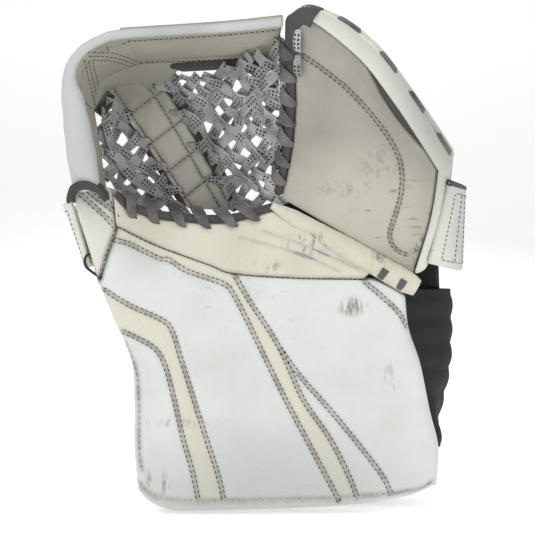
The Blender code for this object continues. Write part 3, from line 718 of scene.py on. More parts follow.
# %% [markdown]
# ## Thread
#
# Heavy seams on a glove are sewn twice, in two rows 2.4 mm apart, eight stitches to the inch. The thread
# is thick enough to cast a shadow, so each stitch is a small solid: a short cord whose ends dive into the
# leather. A seam is drawn as a flat line. Rays find where it meets the leather, and the stitches follow
# that path, one after the other.

# %% Stitches
STITCH_PITCH = 3.1 * MM
STITCH_LENGTH = 2.35 * MM
STITCH_RADIUS = 0.27 * MM
ROW_GAUGE = 2.4 * MM
RAY_STEP = 1.5 * MM
FAR_AWAY = 10.0


# %% Find the leather
def tree_of(*pieces):
    """A search tree over the faces of some meshes."""
    points, faces = [], []
    for piece in pieces:
        first = len(points)
        points += [vertex.co.copy() for vertex in piece.data.vertices]
        faces += [[first + index for index in face.vertices] for face in piece.data.polygons]
    return BVHTree.FromPolygons(points, faces)


def met(tree, rays):
    """Where rays, each a (start, direction, length), meet the leather: places and outward normals."""
    places, normals = [], []
    for start, direction, length in rays:
        place, normal, _, _ = tree.ray_cast(start, direction, length)
        if place is not None:
            places.append(place)
            normals.append(-normal if normal.dot(direction) > 0 else normal)
    return np.array(places), np.array(normals)


def thrown(tree, points, direction, back=0.03):
    """Where a line meets the leather when its points are moved along the direction."""
    direction = Vector(direction).normalized()
    return met(tree, [(Vector(point) - direction * back, direction, 2.5 * back) for point in points])


def seen(tree, drawing):
    """Where a line drawn flat on the plane of the cuff's face meets the leather behind or before it."""
    aims = [(Vector((x, CUFF_FACE_Y, z)) - CAMERA_PLACE).normalized() for x, z in drawing]
    return met(tree, [(CAMERA_PLACE, aim, FAR_AWAY) for aim in aims])


# %% Sew
def stitch_form(sides=6):
    """One stitch along X: rings of points, thin and sunk at both ends."""
    rings = []
    for share in (-1.0, -0.85, -0.4, 0.4, 0.85, 1.0):
        swell = 1.0 - 0.75 * abs(share) ** 6
        sink = -1.3 * abs(share) ** 4
        for turn in ring_turns(sides):
            rings.append((0.5 * share, math.cos(turn) * swell, math.sin(turn) * swell + sink))
    faces = []
    for ring in range(5):
        for side in range(sides):
            a, b = ring * sides + side, ring * sides + (side + 1) % sides
            faces.append((a, b, b + sides, a + sides))
    faces += [tuple(range(sides))[::-1], tuple(range(5 * sides, 6 * sides))]
    return np.array(rings), faces


def sew(name, rows, body, finish=thread, pitch=STITCH_PITCH, length=STITCH_LENGTH, radius=STITCH_RADIUS):
    """One mesh of all the stitches along rows of (places, normals)."""
    form, form_faces = stitch_form()
    points, faces = [], []
    for places, normals in rows:
        if len(places) < 2:
            continue
        count = max(1, int(length_of(places) / pitch))
        middle = (np.arange(count) + 0.5) / count
        centre = along(places, middle)
        ahead = along(places, np.clip(middle + 0.25 / count, 0, 1))
        behind = along(places, np.clip(middle - 0.25 / count, 0, 1))
        tangent = unit(ahead - behind)
        normal = along(places, middle, normals)
        side = unit(np.cross(normal, tangent))
        normal = unit(np.cross(tangent, side))
        for c, t, s, n in zip(centre, tangent, side, normal):
            first = len(points) * len(form)
            shape = form[:, :1] * length * t + form[:, 1:2] * radius * s
            points.append(c + (shape + (form[:, 2:] * radius + 0.5 * radius) * n))
            faces += [tuple(first + index for index in face) for face in form_faces]
    piece = mesh_piece(name, np.vstack(points), faces)
    print(name, "holds", len(points), "stitches")
    return keep(piece, body, finish)


# %% Rows of thread
def double(tree, line, direction, gauge=ROW_GAUGE):
    """Two rows of thread, one on each side of a seam."""
    places, normals = thrown(tree, closely(line, RAY_STEP), direction)
    if len(places) < 3:
        return []
    side = unit(np.cross(normals, np.gradient(places, axis=0)))
    return [thrown(tree, places + side * offset, direction) for offset in (-gauge / 2, gauge / 2)]


def single(tree, line, direction):
    """One row of thread along a seam."""
    return [thrown(tree, closely(line, RAY_STEP), direction)]


# %% [markdown]
# ## The heel: one surface under cuff, palm and thumb
#
# The front of the glove below the fingers is one gently shaped surface: flat at the cuff, forward at the
# thumb, back where it runs into the pocket. A formula gives its depth at any height and width. The cuff,
# palm and thumb panels are all drawn flat and then laid on it, so they meet edge to edge.

# %% Sizes that the frame was built from
CUFF_HALF = 0.092
CUFF_FOOT_Z = -0.146
CUFF_FACE_Y = -0.045
CUFF_THICKNESS = 0.026
SEAM_DROP = 0.005
PALM_THICKNESS = 0.017
THUMB_TIP_Z = 0.047
THUMB_OUTER_X = -0.127
THUMB_WIDTH = 0.021
THUMB_DEPTH = 0.046
LINING = 1.4 * MM
BREAK_START = np.array([-0.006, -0.038, 0.044])
BREAK_END = np.array([0.076, -0.05, -0.0035])
WELT_OFFSET = 6.5 * MM
WELT_RADIUS = 5.5 * MM
BACKWARD = np.array([0.0, 1.0, 0.0])


def heel_y(x, z):
    """The depth of the heel's surface: forward at the thumb and the corner, back at the pocket."""
    thumb = smooth((-x - 0.075) / 0.05) * smooth((z + 0.035) / 0.08)
    pocket = smooth((z + 0.01) / 0.045) * smooth((x + 0.105) / 0.03) * smooth((0.02 - x) / 0.04)
    corner = smooth((x - 0.03) / 0.045) * smooth((z + 0.07) / 0.06)
    return CUFF_FACE_Y - 0.02 * thumb + 0.01 * pocket - 0.005 * corner


def on_heel(flat):
    """Flat (x, z) points, laid on the heel's surface."""
    flat = np.asarray(flat, float)
    x, z = flat[..., 0], flat[..., 1]
    return np.stack([x, heel_y(x, z), z], axis=-1)


def beside_break(share, distance):
    """A flat (x, z) point a share along the break, and a distance above it."""
    start, end = BREAK_START[[0, 2]], BREAK_END[[0, 2]]
    ahead = end - start
    return start + ahead * share + unit(np.array([-ahead[1], ahead[0]])) * distance


# %% Outlines of cuff and heel
THUMB_ROOT = (-0.115, -0.008)
THUMB_CROTCH = (-0.103, 0.026)
SEAM_END = (0.044, -SEAM_DROP - 0.0005)
cuff_bottom = through([
    (-CUFF_HALF, CUFF_FOOT_Z + 0.013), (-CUFF_HALF + 0.006, CUFF_FOOT_Z + 0.0065),
    (-CUFF_HALF + 0.016, CUFF_FOOT_Z + 0.0015), (-CUFF_HALF + 0.03, CUFF_FOOT_Z),
    (0.0, CUFF_FOOT_Z + 0.0015), (CUFF_HALF - 0.057, CUFF_FOOT_Z + 0.0035),
    (CUFF_HALF - 0.024, CUFF_FOOT_Z + 0.008), (CUFF_HALF - 0.003, CUFF_FOOT_Z + 0.016),
])
cuff_left = through([
    (-CUFF_HALF, CUFF_FOOT_Z + 0.013), (-CUFF_HALF - 0.002, CUFF_FOOT_Z + 0.038),
    (-CUFF_HALF - 0.002, CUFF_FOOT_Z + 0.065), (-CUFF_HALF - 0.004, CUFF_FOOT_Z + 0.091),
    (-0.106, -0.031), THUMB_ROOT,
])
cuff_right = through([
    (CUFF_HALF - 0.003, CUFF_FOOT_Z + 0.016), (CUFF_HALF - 0.002, CUFF_FOOT_Z + 0.038),
    (CUFF_HALF - 0.007, CUFF_FOOT_Z + 0.059), (CUFF_HALF - 0.013, CUFF_FOOT_Z + 0.088),
    (0.0715, -0.036), (0.069, -0.0165),
])
wrist_seam = through([
    THUMB_CROTCH, (-0.0815, 0.0149), (-0.049, 0.003), (-0.0336, -0.0024), (0.005, -SEAM_DROP), SEAM_END,
])
seam_tail = through([SEAM_END, (0.052, -0.006), (0.061, -0.01), (0.07, -0.0158)], 25)
thumb_line = through([THUMB_ROOT, THUMB_CROTCH], 25)

# %% [markdown]
# ## The cuff
#
# The cuff is one padded board. Two narrow strips of cream leather are let into its white cover, and each
# strip is held by double seams. The lines below are those seams, drawn flat. Inside each strip the mesh
# stores its distance from the strip's border, which the leather turns into a change of colour. At the foot
# the cover is turned round the foam and sewn to the face, which leaves a roll about 8 mm high.

# %% Seam lines of the cuff
strip_outer = through([
    (-0.0336, -0.0024), (-0.0246, -0.018), (-0.0138, -0.0342), (-0.0066, -0.0462), (0.0, -0.06),
    (0.0084, -0.0786), (0.024, -0.1014), (0.0348, -0.1224), (0.0405, -0.137),
])
strip_inner = through([
    (-0.105, 0.018), (-0.0966, 0.016), (-0.0924, 0.0138), (-0.078, 0.0066), (-0.0732, 0.0064),
    (-0.0618, -0.0006), (-0.0396, -0.0084), (-0.034, -0.0145), (-0.0282, -0.0252), (-0.0192, -0.0438),
    (-0.0114, -0.06), (0.0, -0.0828), (0.0276, -0.135), (0.0285, -0.1378),
])
wedge_seam = through([
    (-0.0066, -0.0462), (0.001, -0.057), (0.009, -0.0672), (0.0276, -0.0882), (0.0534, -0.1206),
    (0.061, -0.1345),
])
side_upper = through([
    (-0.112, -0.011), (-0.0966, -0.021), (-0.0768, -0.03), (-0.0708, -0.0366), (-0.066, -0.0516),
    (-0.0588, -0.0744), (-0.0516, -0.0972), (-0.0432, -0.123), (-0.0398, -0.138),
])
side_lower = through([
    (-0.101, -0.0366), (-0.0906, -0.0414), (-0.0816, -0.0468), (-0.0756, -0.0558), (-0.0702, -0.075),
    (-0.0642, -0.1014), (-0.0588, -0.12), (-0.0552, -0.1378),
])
edge_tail = through([(0.0432, -0.0055), (0.0636, -0.024), (0.07, -0.0345)])
foot_seam = through([
    (-0.0905, -0.1275), (-0.085, -0.1335), (-0.0702, -0.1383), (-0.0288, -0.1386), (0.015, -0.1374),
    (0.0294, -0.1368), (0.0564, -0.1344), (0.078, -0.1318), (0.085, -0.127),
])
left_seam = through([
    (-0.089, -0.12), (-0.0905, -0.108), (-0.0908, -0.081), (-0.0925, -0.06), (-0.099, -0.044),
])
hem_left = through([(-0.0625, -0.1385), (-0.069, -0.1455)], 9)
hem_right = through([(0.062, -0.134), (0.0685, -0.139)], 9)
DOUBLE_SEAMS = [strip_inner, strip_outer, wedge_seam, side_upper, side_lower, edge_tail]


# %% Strips of cream leather
def inside(points, outline):
    """Distance inside a closed flat outline, negative outside it."""
    x, z = points[..., 0], points[..., 1]
    within = np.zeros(x.shape, bool)
    for (ax, az), (bx, bz) in zip(outline, np.roll(outline, -1, axis=0)):
        if az != bz:
            within ^= ((az > z) != (bz > z)) & (x < (bx - ax) * (z - az) / (bz - az) + ax)
    distance = apart(points[..., :2], [np.vstack([outline, outline[:1]])])
    return np.where(within, distance, -distance)


long_strip = np.vstack([wrist_seam[wrist_seam[:, 0] < -0.0336], strip_outer, strip_inner[::-1]])
side_strip = np.vstack([side_upper, side_lower[::-1], [(-0.12, -0.03), (-0.125, -0.011)]])

print("the cuff has", round(sum(length_of(line) for line in DOUBLE_SEAMS), 2), "m of double seam")

# %% The cuff's cover
CUFF_ROLL = 7 * MM
cuff_top = joined(wrist_seam, seam_tail)
flat_cuff = patch(
    cuff_bottom, cuff_top, joined(cuff_left, thumb_line), cuff_right,
    steps(2 * CUFF_HALF, 1.15 * MM, CUFF_ROLL), steps(0.135, 1.15 * MM, CUFF_ROLL),
)
cuff_front = on_heel(flat_cuff)
cuff_gap = apart(flat_cuff, DOUBLE_SEAMS)
foot_gap = apart(flat_cuff, [foot_seam])
hem_gap = apart(flat_cuff, [hem_left, hem_right])
left_gap = apart(flat_cuff, [left_seam])
cuff_drop = (
    rolled(cuff_front, bottom=CUFF_ROLL, top=1.2 * MM, left=CUFF_ROLL, right=CUFF_ROLL)
    + drawn_in(cuff_gap) + drawn_in(foot_gap, groove=1.1 * MM, reach=1.0 * MM, pull=0.9 * MM, width=4 * MM)
    + drawn_in(hem_gap, pull=0.2 * MM) * 0.6 + drawn_in(left_gap, pull=0.3 * MM)
)
any_gap = np.minimum(cuff_gap, np.minimum(foot_gap, left_gap))
cuff_front = dressed(cuff_front, cuff_drop, BACKWARD, any_gap < 2.5 * MM, cap=1.6 * MM)
cuff_back = on_heel(flat_cuff) + CUFF_THICKNESS * BACKWARD
cuff_cover = closed("cuff_cover_leather", cuff_front, cuff_back, bow=1.6 * MM)
mark_seam(cuff_cover, any_gap)
store(cuff_cover, "inlay", np.maximum(inside(flat_cuff, long_strip), inside(flat_cuff, side_strip)), -1.0)
keep(cuff_cover, "cuff", white_leather, "cuff_cover")

# %% [markdown]
# ## Palm and thumb
#
# The palm is cream leather over felt. Its lower edge is sewn to the cuff, its right edge runs under the
# padded welt, and its top is the rim of the pocket. The thumb is a deep padded wall on edge, whose front
# is a narrow panel that carries the palm's seams on up to the T.

# %% The palm
PALM_CLEAR = WELT_OFFSET + 0.4 * WELT_RADIUS
palm_rim = through([
    (-0.104, 0.044), (-0.0958, 0.036), (-0.0816, 0.032), (-0.0656, 0.03), (-0.05, 0.029),
    (-0.0334, 0.03), tuple(beside_break(0, -PALM_CLEAR)),
])
palm_edge = through([beside_break(share, -PALM_CLEAR) for share in spread(0, 0.74, 5)])
flat_palm = patch(
    wrist_seam, joined(palm_rim, palm_edge), through([THUMB_CROTCH, palm_rim[0]]),
    through([SEAM_END, palm_edge[-1]]), steps(0.16, 1.2 * MM, 3 * MM), steps(0.036, 1.0 * MM, 2 * MM),
)
flat_palm[..., 1] = np.maximum(flat_palm[..., 1], -0.0065)
palm_front = on_heel(flat_palm)
palm_gap = apart(flat_palm, [wrist_seam])
fold_lines = [
    through([(-0.03, 0.02), (0.006, 0.01), (0.03, -0.001)]),
    through([(-0.016, 0.024), (0.014, 0.013), (0.04, 0.001)]),
]
fold_gap = apart(flat_palm, fold_lines)
palm_drop = (
    rolled(palm_front, bottom=1.2 * MM, top=2.5 * MM, left=1.5 * MM, right=1.5 * MM)
    + drawn_in(palm_gap) + drawn_in(fold_gap, groove=0.35 * MM, pull=0.35 * MM, width=3 * MM)
)
palm_front = dressed(palm_front, palm_drop, BACKWARD, palm_gap < 2.5 * MM, cap=1.8 * MM)
palm_back = on_heel(flat_palm) + (PALM_THICKNESS - LINING - 0.3 * MM) * BACKWARD
palm_cover = closed("palm_leather", palm_front, palm_back, bow=0.8 * MM)
mark_seam(palm_cover, np.minimum(palm_gap, fold_gap + 1.0 * MM))
keep(palm_cover, "cuff", cream_leather, "palm_cover")

# %% The thumb
thumb_tip = through([
    (THUMB_OUTER_X, THUMB_TIP_Z), (THUMB_OUTER_X + THUMB_WIDTH / 2, THUMB_TIP_Z + 0.0025),
    (THUMB_OUTER_X + THUMB_WIDTH, THUMB_TIP_Z + 0.001),
])
thumb_left = through([THUMB_ROOT, (-0.119, 0.012), (-0.124, 0.032), (THUMB_OUTER_X, THUMB_TIP_Z)])
thumb_right = through([THUMB_CROTCH, (-0.104, 0.04), tuple(thumb_tip[-1])])
flat_thumb = patch(
    thumb_line, thumb_tip, thumb_left, thumb_right,
    steps(THUMB_WIDTH, 0.8 * MM, 4 * MM), steps(0.05, 1.0 * MM, 3 * MM),
)
crossing = through([(-0.1019, 0.03), (-0.1045, 0.035), (-0.1141, 0.0428), (-0.118, 0.0465)])
crossing_low = through([(-0.103, 0.0245), (-0.1089, 0.0318), (-0.1219, 0.044), (-0.1245, 0.0465)])
thumb_mid = through([(-0.103, 0.028), (-0.105, 0.039), (-0.1085, 0.0475)])
thumb_gap = apart(flat_thumb, [thumb_line, crossing, crossing_low, thumb_mid])
thumb_front = on_heel(flat_thumb)
thumb_drop = rolled(thumb_front, bottom=1.0 * MM, top=2.5 * MM, left=5 * MM, right=3 * MM) + drawn_in(
    thumb_gap, groove=0.4 * MM, pull=0.3 * MM)
thumb_front = dressed(thumb_front, thumb_drop, BACKWARD, thumb_gap < 1.5 * MM, cap=1.2 * MM, every=3)
thumb_back_grid = on_heel(flat_thumb) + THUMB_DEPTH * BACKWARD
thumb_cover = closed("thumb_leather", thumb_front, thumb_back_grid, bow=1.2 * MM, loops=8)
mark_seam(thumb_cover, thumb_gap, 1.5 * MM)
keep(thumb_cover, "cuff", white_leather, "thumb_cover")

# %% Thread on cuff, palm and thumb
heel_tree = tree_of(cuff_cover, palm_cover, thumb_cover)
heel_rows = []
for line in DOUBLE_SEAMS + [wrist_seam, crossing, crossing_low]:
    heel_rows += double(heel_tree, on_heel(line), BACKWARD)
heel_rows += double(heel_tree, on_heel(thumb_line), BACKWARD, gauge=4.0 * MM)
heel_rows += single(heel_tree, on_heel(thumb_mid), BACKWARD)
sew("heel_thread", heel_rows, "cuff")
edge_rows = single(heel_tree, on_heel(left_seam), BACKWARD)
sew("edge_thread", edge_rows, "cuff", length=1.2 * MM, pitch=3.6 * MM)
sew("foot_thread", single(heel_tree, on_heel(foot_seam), BACKWARD), "cuff", finish=pale_thread,
    length=1.6 * MM, pitch=3.6 * MM)

# %% [markdown]
# ## The finger section's own frame
#
# The fingers lean towards the camera and fold about the break. Their panels are drawn flat in the finger
# section's own frame: u along the break, r away from it, and n behind the face. Three unit vectors turn
# such a drawing into places on the glove.

# %% The finger frame
FINGER_LENGTH = 0.113
FINGER_TILT = math.radians(40)
FACE_FOOT = 2.0 * MM
FINGER_PAD = 9 * MM
FINGER_WALL = 0.025
KNUCKLE_BULGE = 0.021
SHELL_THICKNESS = 7 * MM
GUSSET = 2.2 * MM
ALONG = unit(BREAK_END - BREAK_START)
LEVEL = unit(BACKWARD - ALONG * ALONG[1])
RISE = unit(np.cross(ALONG, LEVEL))
OUTWARD = unit(RISE * math.cos(FINGER_TILT) - LEVEL * math.sin(FINGER_TILT))
INWARD = unit(np.cross(OUTWARD, ALONG))
INWARD = INWARD if INWARD[1] > 0 else -INWARD


def at_fingers(flat, n=0.0):
    """Flat (u, r) points of the finger section, n behind its face."""
    flat = np.asarray(flat, float)
    depth = np.broadcast_to(n, flat.shape[:-1])
    return BREAK_START + flat[..., :1] * ALONG + flat[..., 1:2] * OUTWARD + depth[..., None] * INWARD


def on_face(drawing):
    """A line drawn on the plane of the cuff's face, carried along the sight line to the finger face."""
    eye = np.array(CAMERA_PLACE)
    flat = np.asarray(drawing, float)
    rays = np.stack([flat[:, 0], np.full(len(flat), CUFF_FACE_Y), flat[:, 1]], axis=1) - eye
    reach = ((BREAK_START - eye) @ INWARD) / (rays @ INWARD)
    return eye + rays * reach[:, None]


def up_fingers(points):
    """Points whose height is given as a share of the finger section's length."""
    return [(u, FACE_FOOT + share * (FINGER_LENGTH - FACE_FOOT)) for u, share in points]


# %% Outline and thickness of the fingers
face_left = through(up_fingers([(-0.002, 0), (-0.0055, 0.18), (-0.009, 0.33), (-0.0165, 0.55),
                                (-0.025, 0.735), (-0.0335, 0.928)]))
face_top = through(up_fingers([(-0.0335, 0.928), (-0.024, 1), (0.01, 0.946), (0.037, 0.83),
                               (0.0586, 0.716), (0.077, 0.613)]), 129)
face_right = through(up_fingers([(0.077, 0.613), (0.083, 0.46), (0.0885, 0.28), (0.0945, 0)]), 65)


def taper(u):
    """0 at the pocket's edge, where the section is thin, and 1 away from it."""
    return smooth((u + 0.034) / 0.035)


def edge_depth(u):
    """The depth of the outer wall, from the face to the shell."""
    return FINGER_WALL * (0.6 + 0.4 * taper(u)) - SHELL_THICKNESS


def bulge(u, r):
    """How far the shell stands out over the knuckles."""
    across = np.maximum(0, 1 - ((u - 0.042) / 0.052) ** 2)
    return KNUCKLE_BULGE * across * (1 - smooth(r / 0.095))


# %% [markdown]
# ## The finger face
#
# This is where most shots land, so its leather is scuffed; its grey tone is painted shade, as the face
# leans away from the lamp above. A double seam in the shape of a D keeps the padding flat under the
# strike area, and outside it the panel is left soft. The face is sewn into the bright outer wall, and
# along part of that joint the seam has opened, which shows as a dark, ragged gap.

# %% Face panel
INNER = GUSSET + 0.6 * MM
full_edge = joined(face_left, face_top, face_right)
inner_edge = beside(full_edge, INNER)
first, second = len(face_left), len(face_left) + len(face_top) - 1
inner_left, inner_right = inner_edge[:first], inner_edge[second - 1:]
inner_top = inner_edge[first - 1:second]
flat_face = patch(
    through([inner_left[0], inner_right[-1]]), inner_top, inner_left, inner_right[::-1],
    steps(0.105, 1.15 * MM, 3 * MM), steps(0.1, 1.15 * MM, 3 * MM),
)
d_seam = on_face(through([
    (0.006, 0.129), (0.0192, 0.12), (0.0336, 0.1086), (0.0468, 0.0948), (0.057, 0.0816),
    (0.0642, 0.069), (0.0668, 0.0576), (0.0662, 0.0444), (0.063, 0.033), (0.0596, 0.0222),
    (0.0606, 0.0156), (0.0648, 0.0108), (0.0702, 0.0084),
]))
flat_face[..., 1] -= 3.4 * MM * (1 - smooth(flat_face[..., 1] / 0.02))
torn_line = along(inner_top, spread(0.42, 0.9, 97))
torn_shares = spread(0, 1, len(torn_line))
torn_inward = beside(torn_line, 1.0) - torn_line
torn_nearest = np.linalg.norm(flat_face[:, :, None] - torn_line, axis=-1)
torn_index = torn_nearest.argmin(axis=-1)
torn_reach = torn_nearest.min(axis=-1)
torn_pull = 4.2 * MM * np.sin(math.pi * torn_shares[torn_index]) * np.exp(-(torn_reach / 0.008) ** 2)
flat_face = flat_face + torn_inward[torn_index] * torn_pull[..., None]
face_front = at_fingers(flat_face)
d_gap = apart(face_front, [d_seam])
face_drop = rolled(face_front, bottom=2 * MM, top=2.5 * MM, left=2 * MM, right=2.5 * MM) + drawn_in(
    d_gap, groove=0.6 * MM, pull=1.1 * MM, width=7 * MM)
face_front = dressed(face_front, face_drop, INWARD, d_gap < 2.5 * MM, cap=2.6 * MM)
finger_face = closed("finger_face_leather", face_front, at_fingers(flat_face, 1.8 * MM + 2.5 * MM), loops=2)
mark_seam(finger_face, d_gap)
keep(finger_face, "fingers", worn_leather, "finger_face", "finger_pad")

# %% The opened seam
torn_wide = 5.0 * MM * np.sin(math.pi * torn_shares) ** 0.7 + 0.2 * MM
torn_rows = np.array([
    torn_line + torn_inward * (torn_wide * share - 1.4 * MM)[:, None] for share in spread(0, 1, 9)
])
torn_floor = at_fingers(torn_rows, 1.9 * MM)
open_seam = closed("opened_seam", torn_floor, torn_floor + INWARD * 1.2 * MM, loops=1)
keep(open_seam, "fingers", dark_binding)

# %% Thread on the face
face_tree = tree_of(finger_face)
sew("face_thread", double(face_tree, d_seam, INWARD), "fingers")

# %% [markdown]
# ## The outer wall and the shell over the fingers
#
# The outer wall is a strip of white leather over thin foam, sewn to the face in front and laced to the
# shell behind. The lace comes out of one hole and goes into the next, so only short dark stitches show
# along the edge. The shell covers the backs of the fingers: a padded panel with a channel sewn between
# each pair of fingers.

# %% The outer wall
wall_line = along(full_edge, steps(length_of(full_edge), 1.3 * MM))
WALL_BOW = 3.2 * MM
wall_outer, wall_inner = [], []
for share in spread(0, 1, 15):
    swell = 0.9 * WALL_BOW * math.sin(math.pi * min(1.0, share * 1.02)) ** 0.8
    depth = -0.4 * MM + share * (edge_depth(wall_line[:, 0]) + 1.2 * MM)
    wall_outer.append(at_fingers(beside(wall_line, -swell), depth))
    wall_inner.append(at_fingers(beside(wall_line, 1.9 * MM), depth))
finger_gusset = closed("finger_wall_leather", np.array(wall_outer), np.array(wall_inner), bow=0.6 * MM,
                       loops=3)
keep(finger_gusset, "fingers", white_leather, "finger_gusset")

# %% The shell over the backs of the fingers
flat_shell = patch(
    through([face_left[0], face_right[-1]]), face_top, face_left, face_right[::-1],
    steps(0.11, 1.5 * MM, 4 * MM), steps(0.105, 1.5 * MM, 4 * MM),
)
u, r = flat_shell[..., 0], flat_shell[..., 1]
shell_depth = edge_depth(u) + 0.3 * MM + bulge(u, r)
shell_inside = at_fingers(flat_shell, shell_depth)
shell_outside = at_fingers(flat_shell, shell_depth + SHELL_THICKNESS)
channels = [through([(start, 0.004), (end, top)]) for start, end, top in (
    (0.02, 0.0, 0.085), (0.043, 0.026, 0.078), (0.066, 0.052, 0.066))]
knuckle_line = through([(-0.002, 0.032), (0.03, 0.03), (0.085, 0.026)])
shell_gap = apart(flat_shell, channels + [knuckle_line])
shell_drop = rolled_all(shell_outside, 4 * MM) + drawn_in(
    shell_gap, groove=0.8 * MM, reach=1.2 * MM, pull=1.6 * MM, width=6 * MM)
shell_outside = shell_outside - shell_drop[..., None] * INWARD + 1.5 * MM * INWARD
finger_shell = closed("finger_shell_leather", shell_inside, shell_outside, bow=1.0 * MM)
seam_values = np.concatenate([np.zeros(shell_gap.size), np.exp(-(shell_gap.ravel() / (2 * MM)) ** 2)])
store(finger_shell, "seam", seam_values)
keep(finger_shell, "fingers", white_leather, "finger_shell")
shell_tree = tree_of(finger_shell)
shell_rows = []
for line in channels + [knuckle_line]:
    lifted_line = at_fingers(line, edge_depth(line[:, 0]) + bulge(line[:, 0], line[:, 1]) + 0.01)
    shell_rows += single(shell_tree, lifted_line, -INWARD)
sew("shell_thread", shell_rows, "fingers")

# %% [markdown]
# ## Flat lace
#
# Skate lace is 8 mm wide and 1.5 mm thick. One function sweeps its rounded section along a path. The side
# of the lace is given at every point of the path, so a lace can lie flat, stand on edge, twist or be
# pinched narrow where it enters a hole.


# %% Sweep a flat lace
LACE_WIDTH = 8 * MM
LACE_SIDES = 10
BRAID_SHIFT = 13.7 * MM


def laces(name, routes, body, finish, *stands_for):
    """One mesh of flat laces. A route is (points, sides, widths, thickness)."""
    across, thick = (values / 2 for values in rounded_box(LACE_SIDES, 0.55, 0.8))
    sides = LACE_SIDES
    points, faces, lengths = [], [], []
    for path, side, widths, thickness in routes:
        path, count = np.asarray(path), len(path)
        tangent = unit(np.gradient(path, axis=0))
        side = unit(side - (side * tangent).sum(axis=1)[:, None] * tangent)
        lift = np.cross(tangent, side)
        widths = np.broadcast_to(widths, count)
        ring = (path[:, None] + side[:, None] * (across * widths[:, None])[..., None]
                + lift[:, None] * (thick * thickness)[None, :, None])
        first = sum(len(block) for block in points)
        points.append(ring.reshape(-1, 3))
        start = BRAID_SHIFT * len(lengths)
        lengths.append(np.stack([
            np.repeat(travelled_along(path) + start, sides), (across[None] * widths[:, None]).ravel(),
        ], axis=1))
        faces += tube_faces(count, sides, first)
    piece = mesh_piece(name, np.vstack(points), faces)
    flat = np.vstack(lengths)
    layer = piece.data.uv_layers.new(name="lace")
    corners = np.array([loop.vertex_index for loop in piece.data.loops])
    layer.data.foreach_set("uv", flat[corners].ravel().astype(np.float32))
    print(name, "holds", len(routes), "laces")
    return keep(piece, body, finish, *stands_for)


# %% Stitches of lace along the outer edge
STITCH_POINTS = 17
EDGE_LIFT = 2.6 * MM
outer_edge = beside(face_top, -EDGE_LIFT)
ends = np.minimum(np.sin(spread(0, math.pi, STITCH_POINTS)) * 3.0, 1.0)
stitch_routes = []
for share in (0.27, 0.5, 0.71, 0.93):
    run = along(outer_edge, spread(share - 0.062, share + 0.062, STITCH_POINTS))
    sunk = beside(run, (1.0 - ends)[:, None] * EDGE_LIFT)
    depth = edge_depth(run[:, 0]) * 0.8
    places = at_fingers(sunk, depth)
    widths = (0.35 + 0.65 * ends) * 5.0 * MM
    stitch_routes.append((places, np.tile(INWARD, (STITCH_POINTS, 1)), widths, 1.6 * MM))
laces("finger_lace_stitches", stitch_routes, "fingers", edge_lace,
      "finger_lace_1", "finger_lace_2", "finger_lace_3", "finger_lace_4")

# %% [markdown]
# ## The break
#
# The break is a padded roll of cream leather between palm and fingers. It squeezes when the glove folds.
# Two lace ties hold its outer end to the cuff.

# %% The welt
WELT_RINGS, WELT_SIDES = 90, 28
past_ends = spread(-0.02, 1.03, WELT_RINGS)
welt_flat = np.array([beside_break(share, -WELT_OFFSET) for share in past_ends])
welt_depth = BREAK_START[1] + (BREAK_END[1] - BREAK_START[1]) * past_ends
welt_line = np.stack([welt_flat[:, 0], welt_depth, welt_flat[:, 1]], axis=1)
welt_share = spread(0, 1, WELT_RINGS)
welt_size = WELT_RADIUS * np.interp(welt_share, (0, 0.15, 0.5, 0.93, 1.0), (0.36, 0.78, 1.04, 1.12, 0.85))
wrinkle = 0.05 * np.sin(welt_share * 61) + 0.04 * np.sin(welt_share * 97 + 1.0)
turns = ring_turns(WELT_SIDES)
welt_up = unit(np.cross(welt_line[-1] - welt_line[0], BACKWARD))
welt_grid = np.array([
    line + (welt_up * math.cos(turn) * 1.12 - BACKWARD * math.sin(turn))
    * size * (1 + crinkle * math.sin(2 * turn))
    for line, size, crinkle in zip(welt_line, welt_size, wrinkle) for turn in turns
])
break_welt = mesh_piece("break_welt_leather", welt_grid, tube_faces(WELT_RINGS, WELT_SIDES))
welt_seam_gap = np.abs(turns - math.radians(305))
store(break_welt, "seam", np.tile(np.exp(-(welt_seam_gap / 0.12) ** 2), WELT_RINGS))
break_welt.data.materials.append(cream_leather)
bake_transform(break_welt)
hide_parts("break_welt")
print("welt:", round(length_of(welt_line) / MM), "mm long")

# %% The ties
TIE_POINTS = 11
tie_routes = []
tie_across = unit(np.cross(BACKWARD, welt_line[-1] - welt_line[0]))
for share in (0.93, 0.8):
    x, z = beside_break(share, -WELT_OFFSET)
    centre = np.array([x, BREAK_START[1] * (1 - share) + BREAK_END[1] * share, z])
    arc = [centre + (tie_across * math.cos(turn) + BACKWARD * math.sin(turn)) * (WELT_RADIUS + 0.8 * MM)
           for turn in spread(-0.5 * math.pi, -0.12 * math.pi, TIE_POINTS)]
    tie_side = np.tile(unit(welt_line[-1] - welt_line[0]), (TIE_POINTS, 1))
    tie_routes.append((np.array(arc), tie_side, 4.4 * MM, 1.6 * MM))
laces("heel_ties", tie_routes, "cuff", edge_lace, "heel_tie_upper", "heel_tie_lower")

# %% [markdown]
# ## The T
#
# The T closes the pocket. Its outer frame is a rolled edge with padded walls behind it: a top wall that
# reaches the finger tip, a wall on the thumb's side, and a corner between them with three rows of thread.
# The stem is the quilted strap down the middle of the pocket. All of it is soft.

# %% Sizes of the T
T_TOP_Z = 0.13
T_DEPTH = 0.04
T_THICKNESS = 7 * MM
T_BACK_Z = T_TOP_Z - 0.006


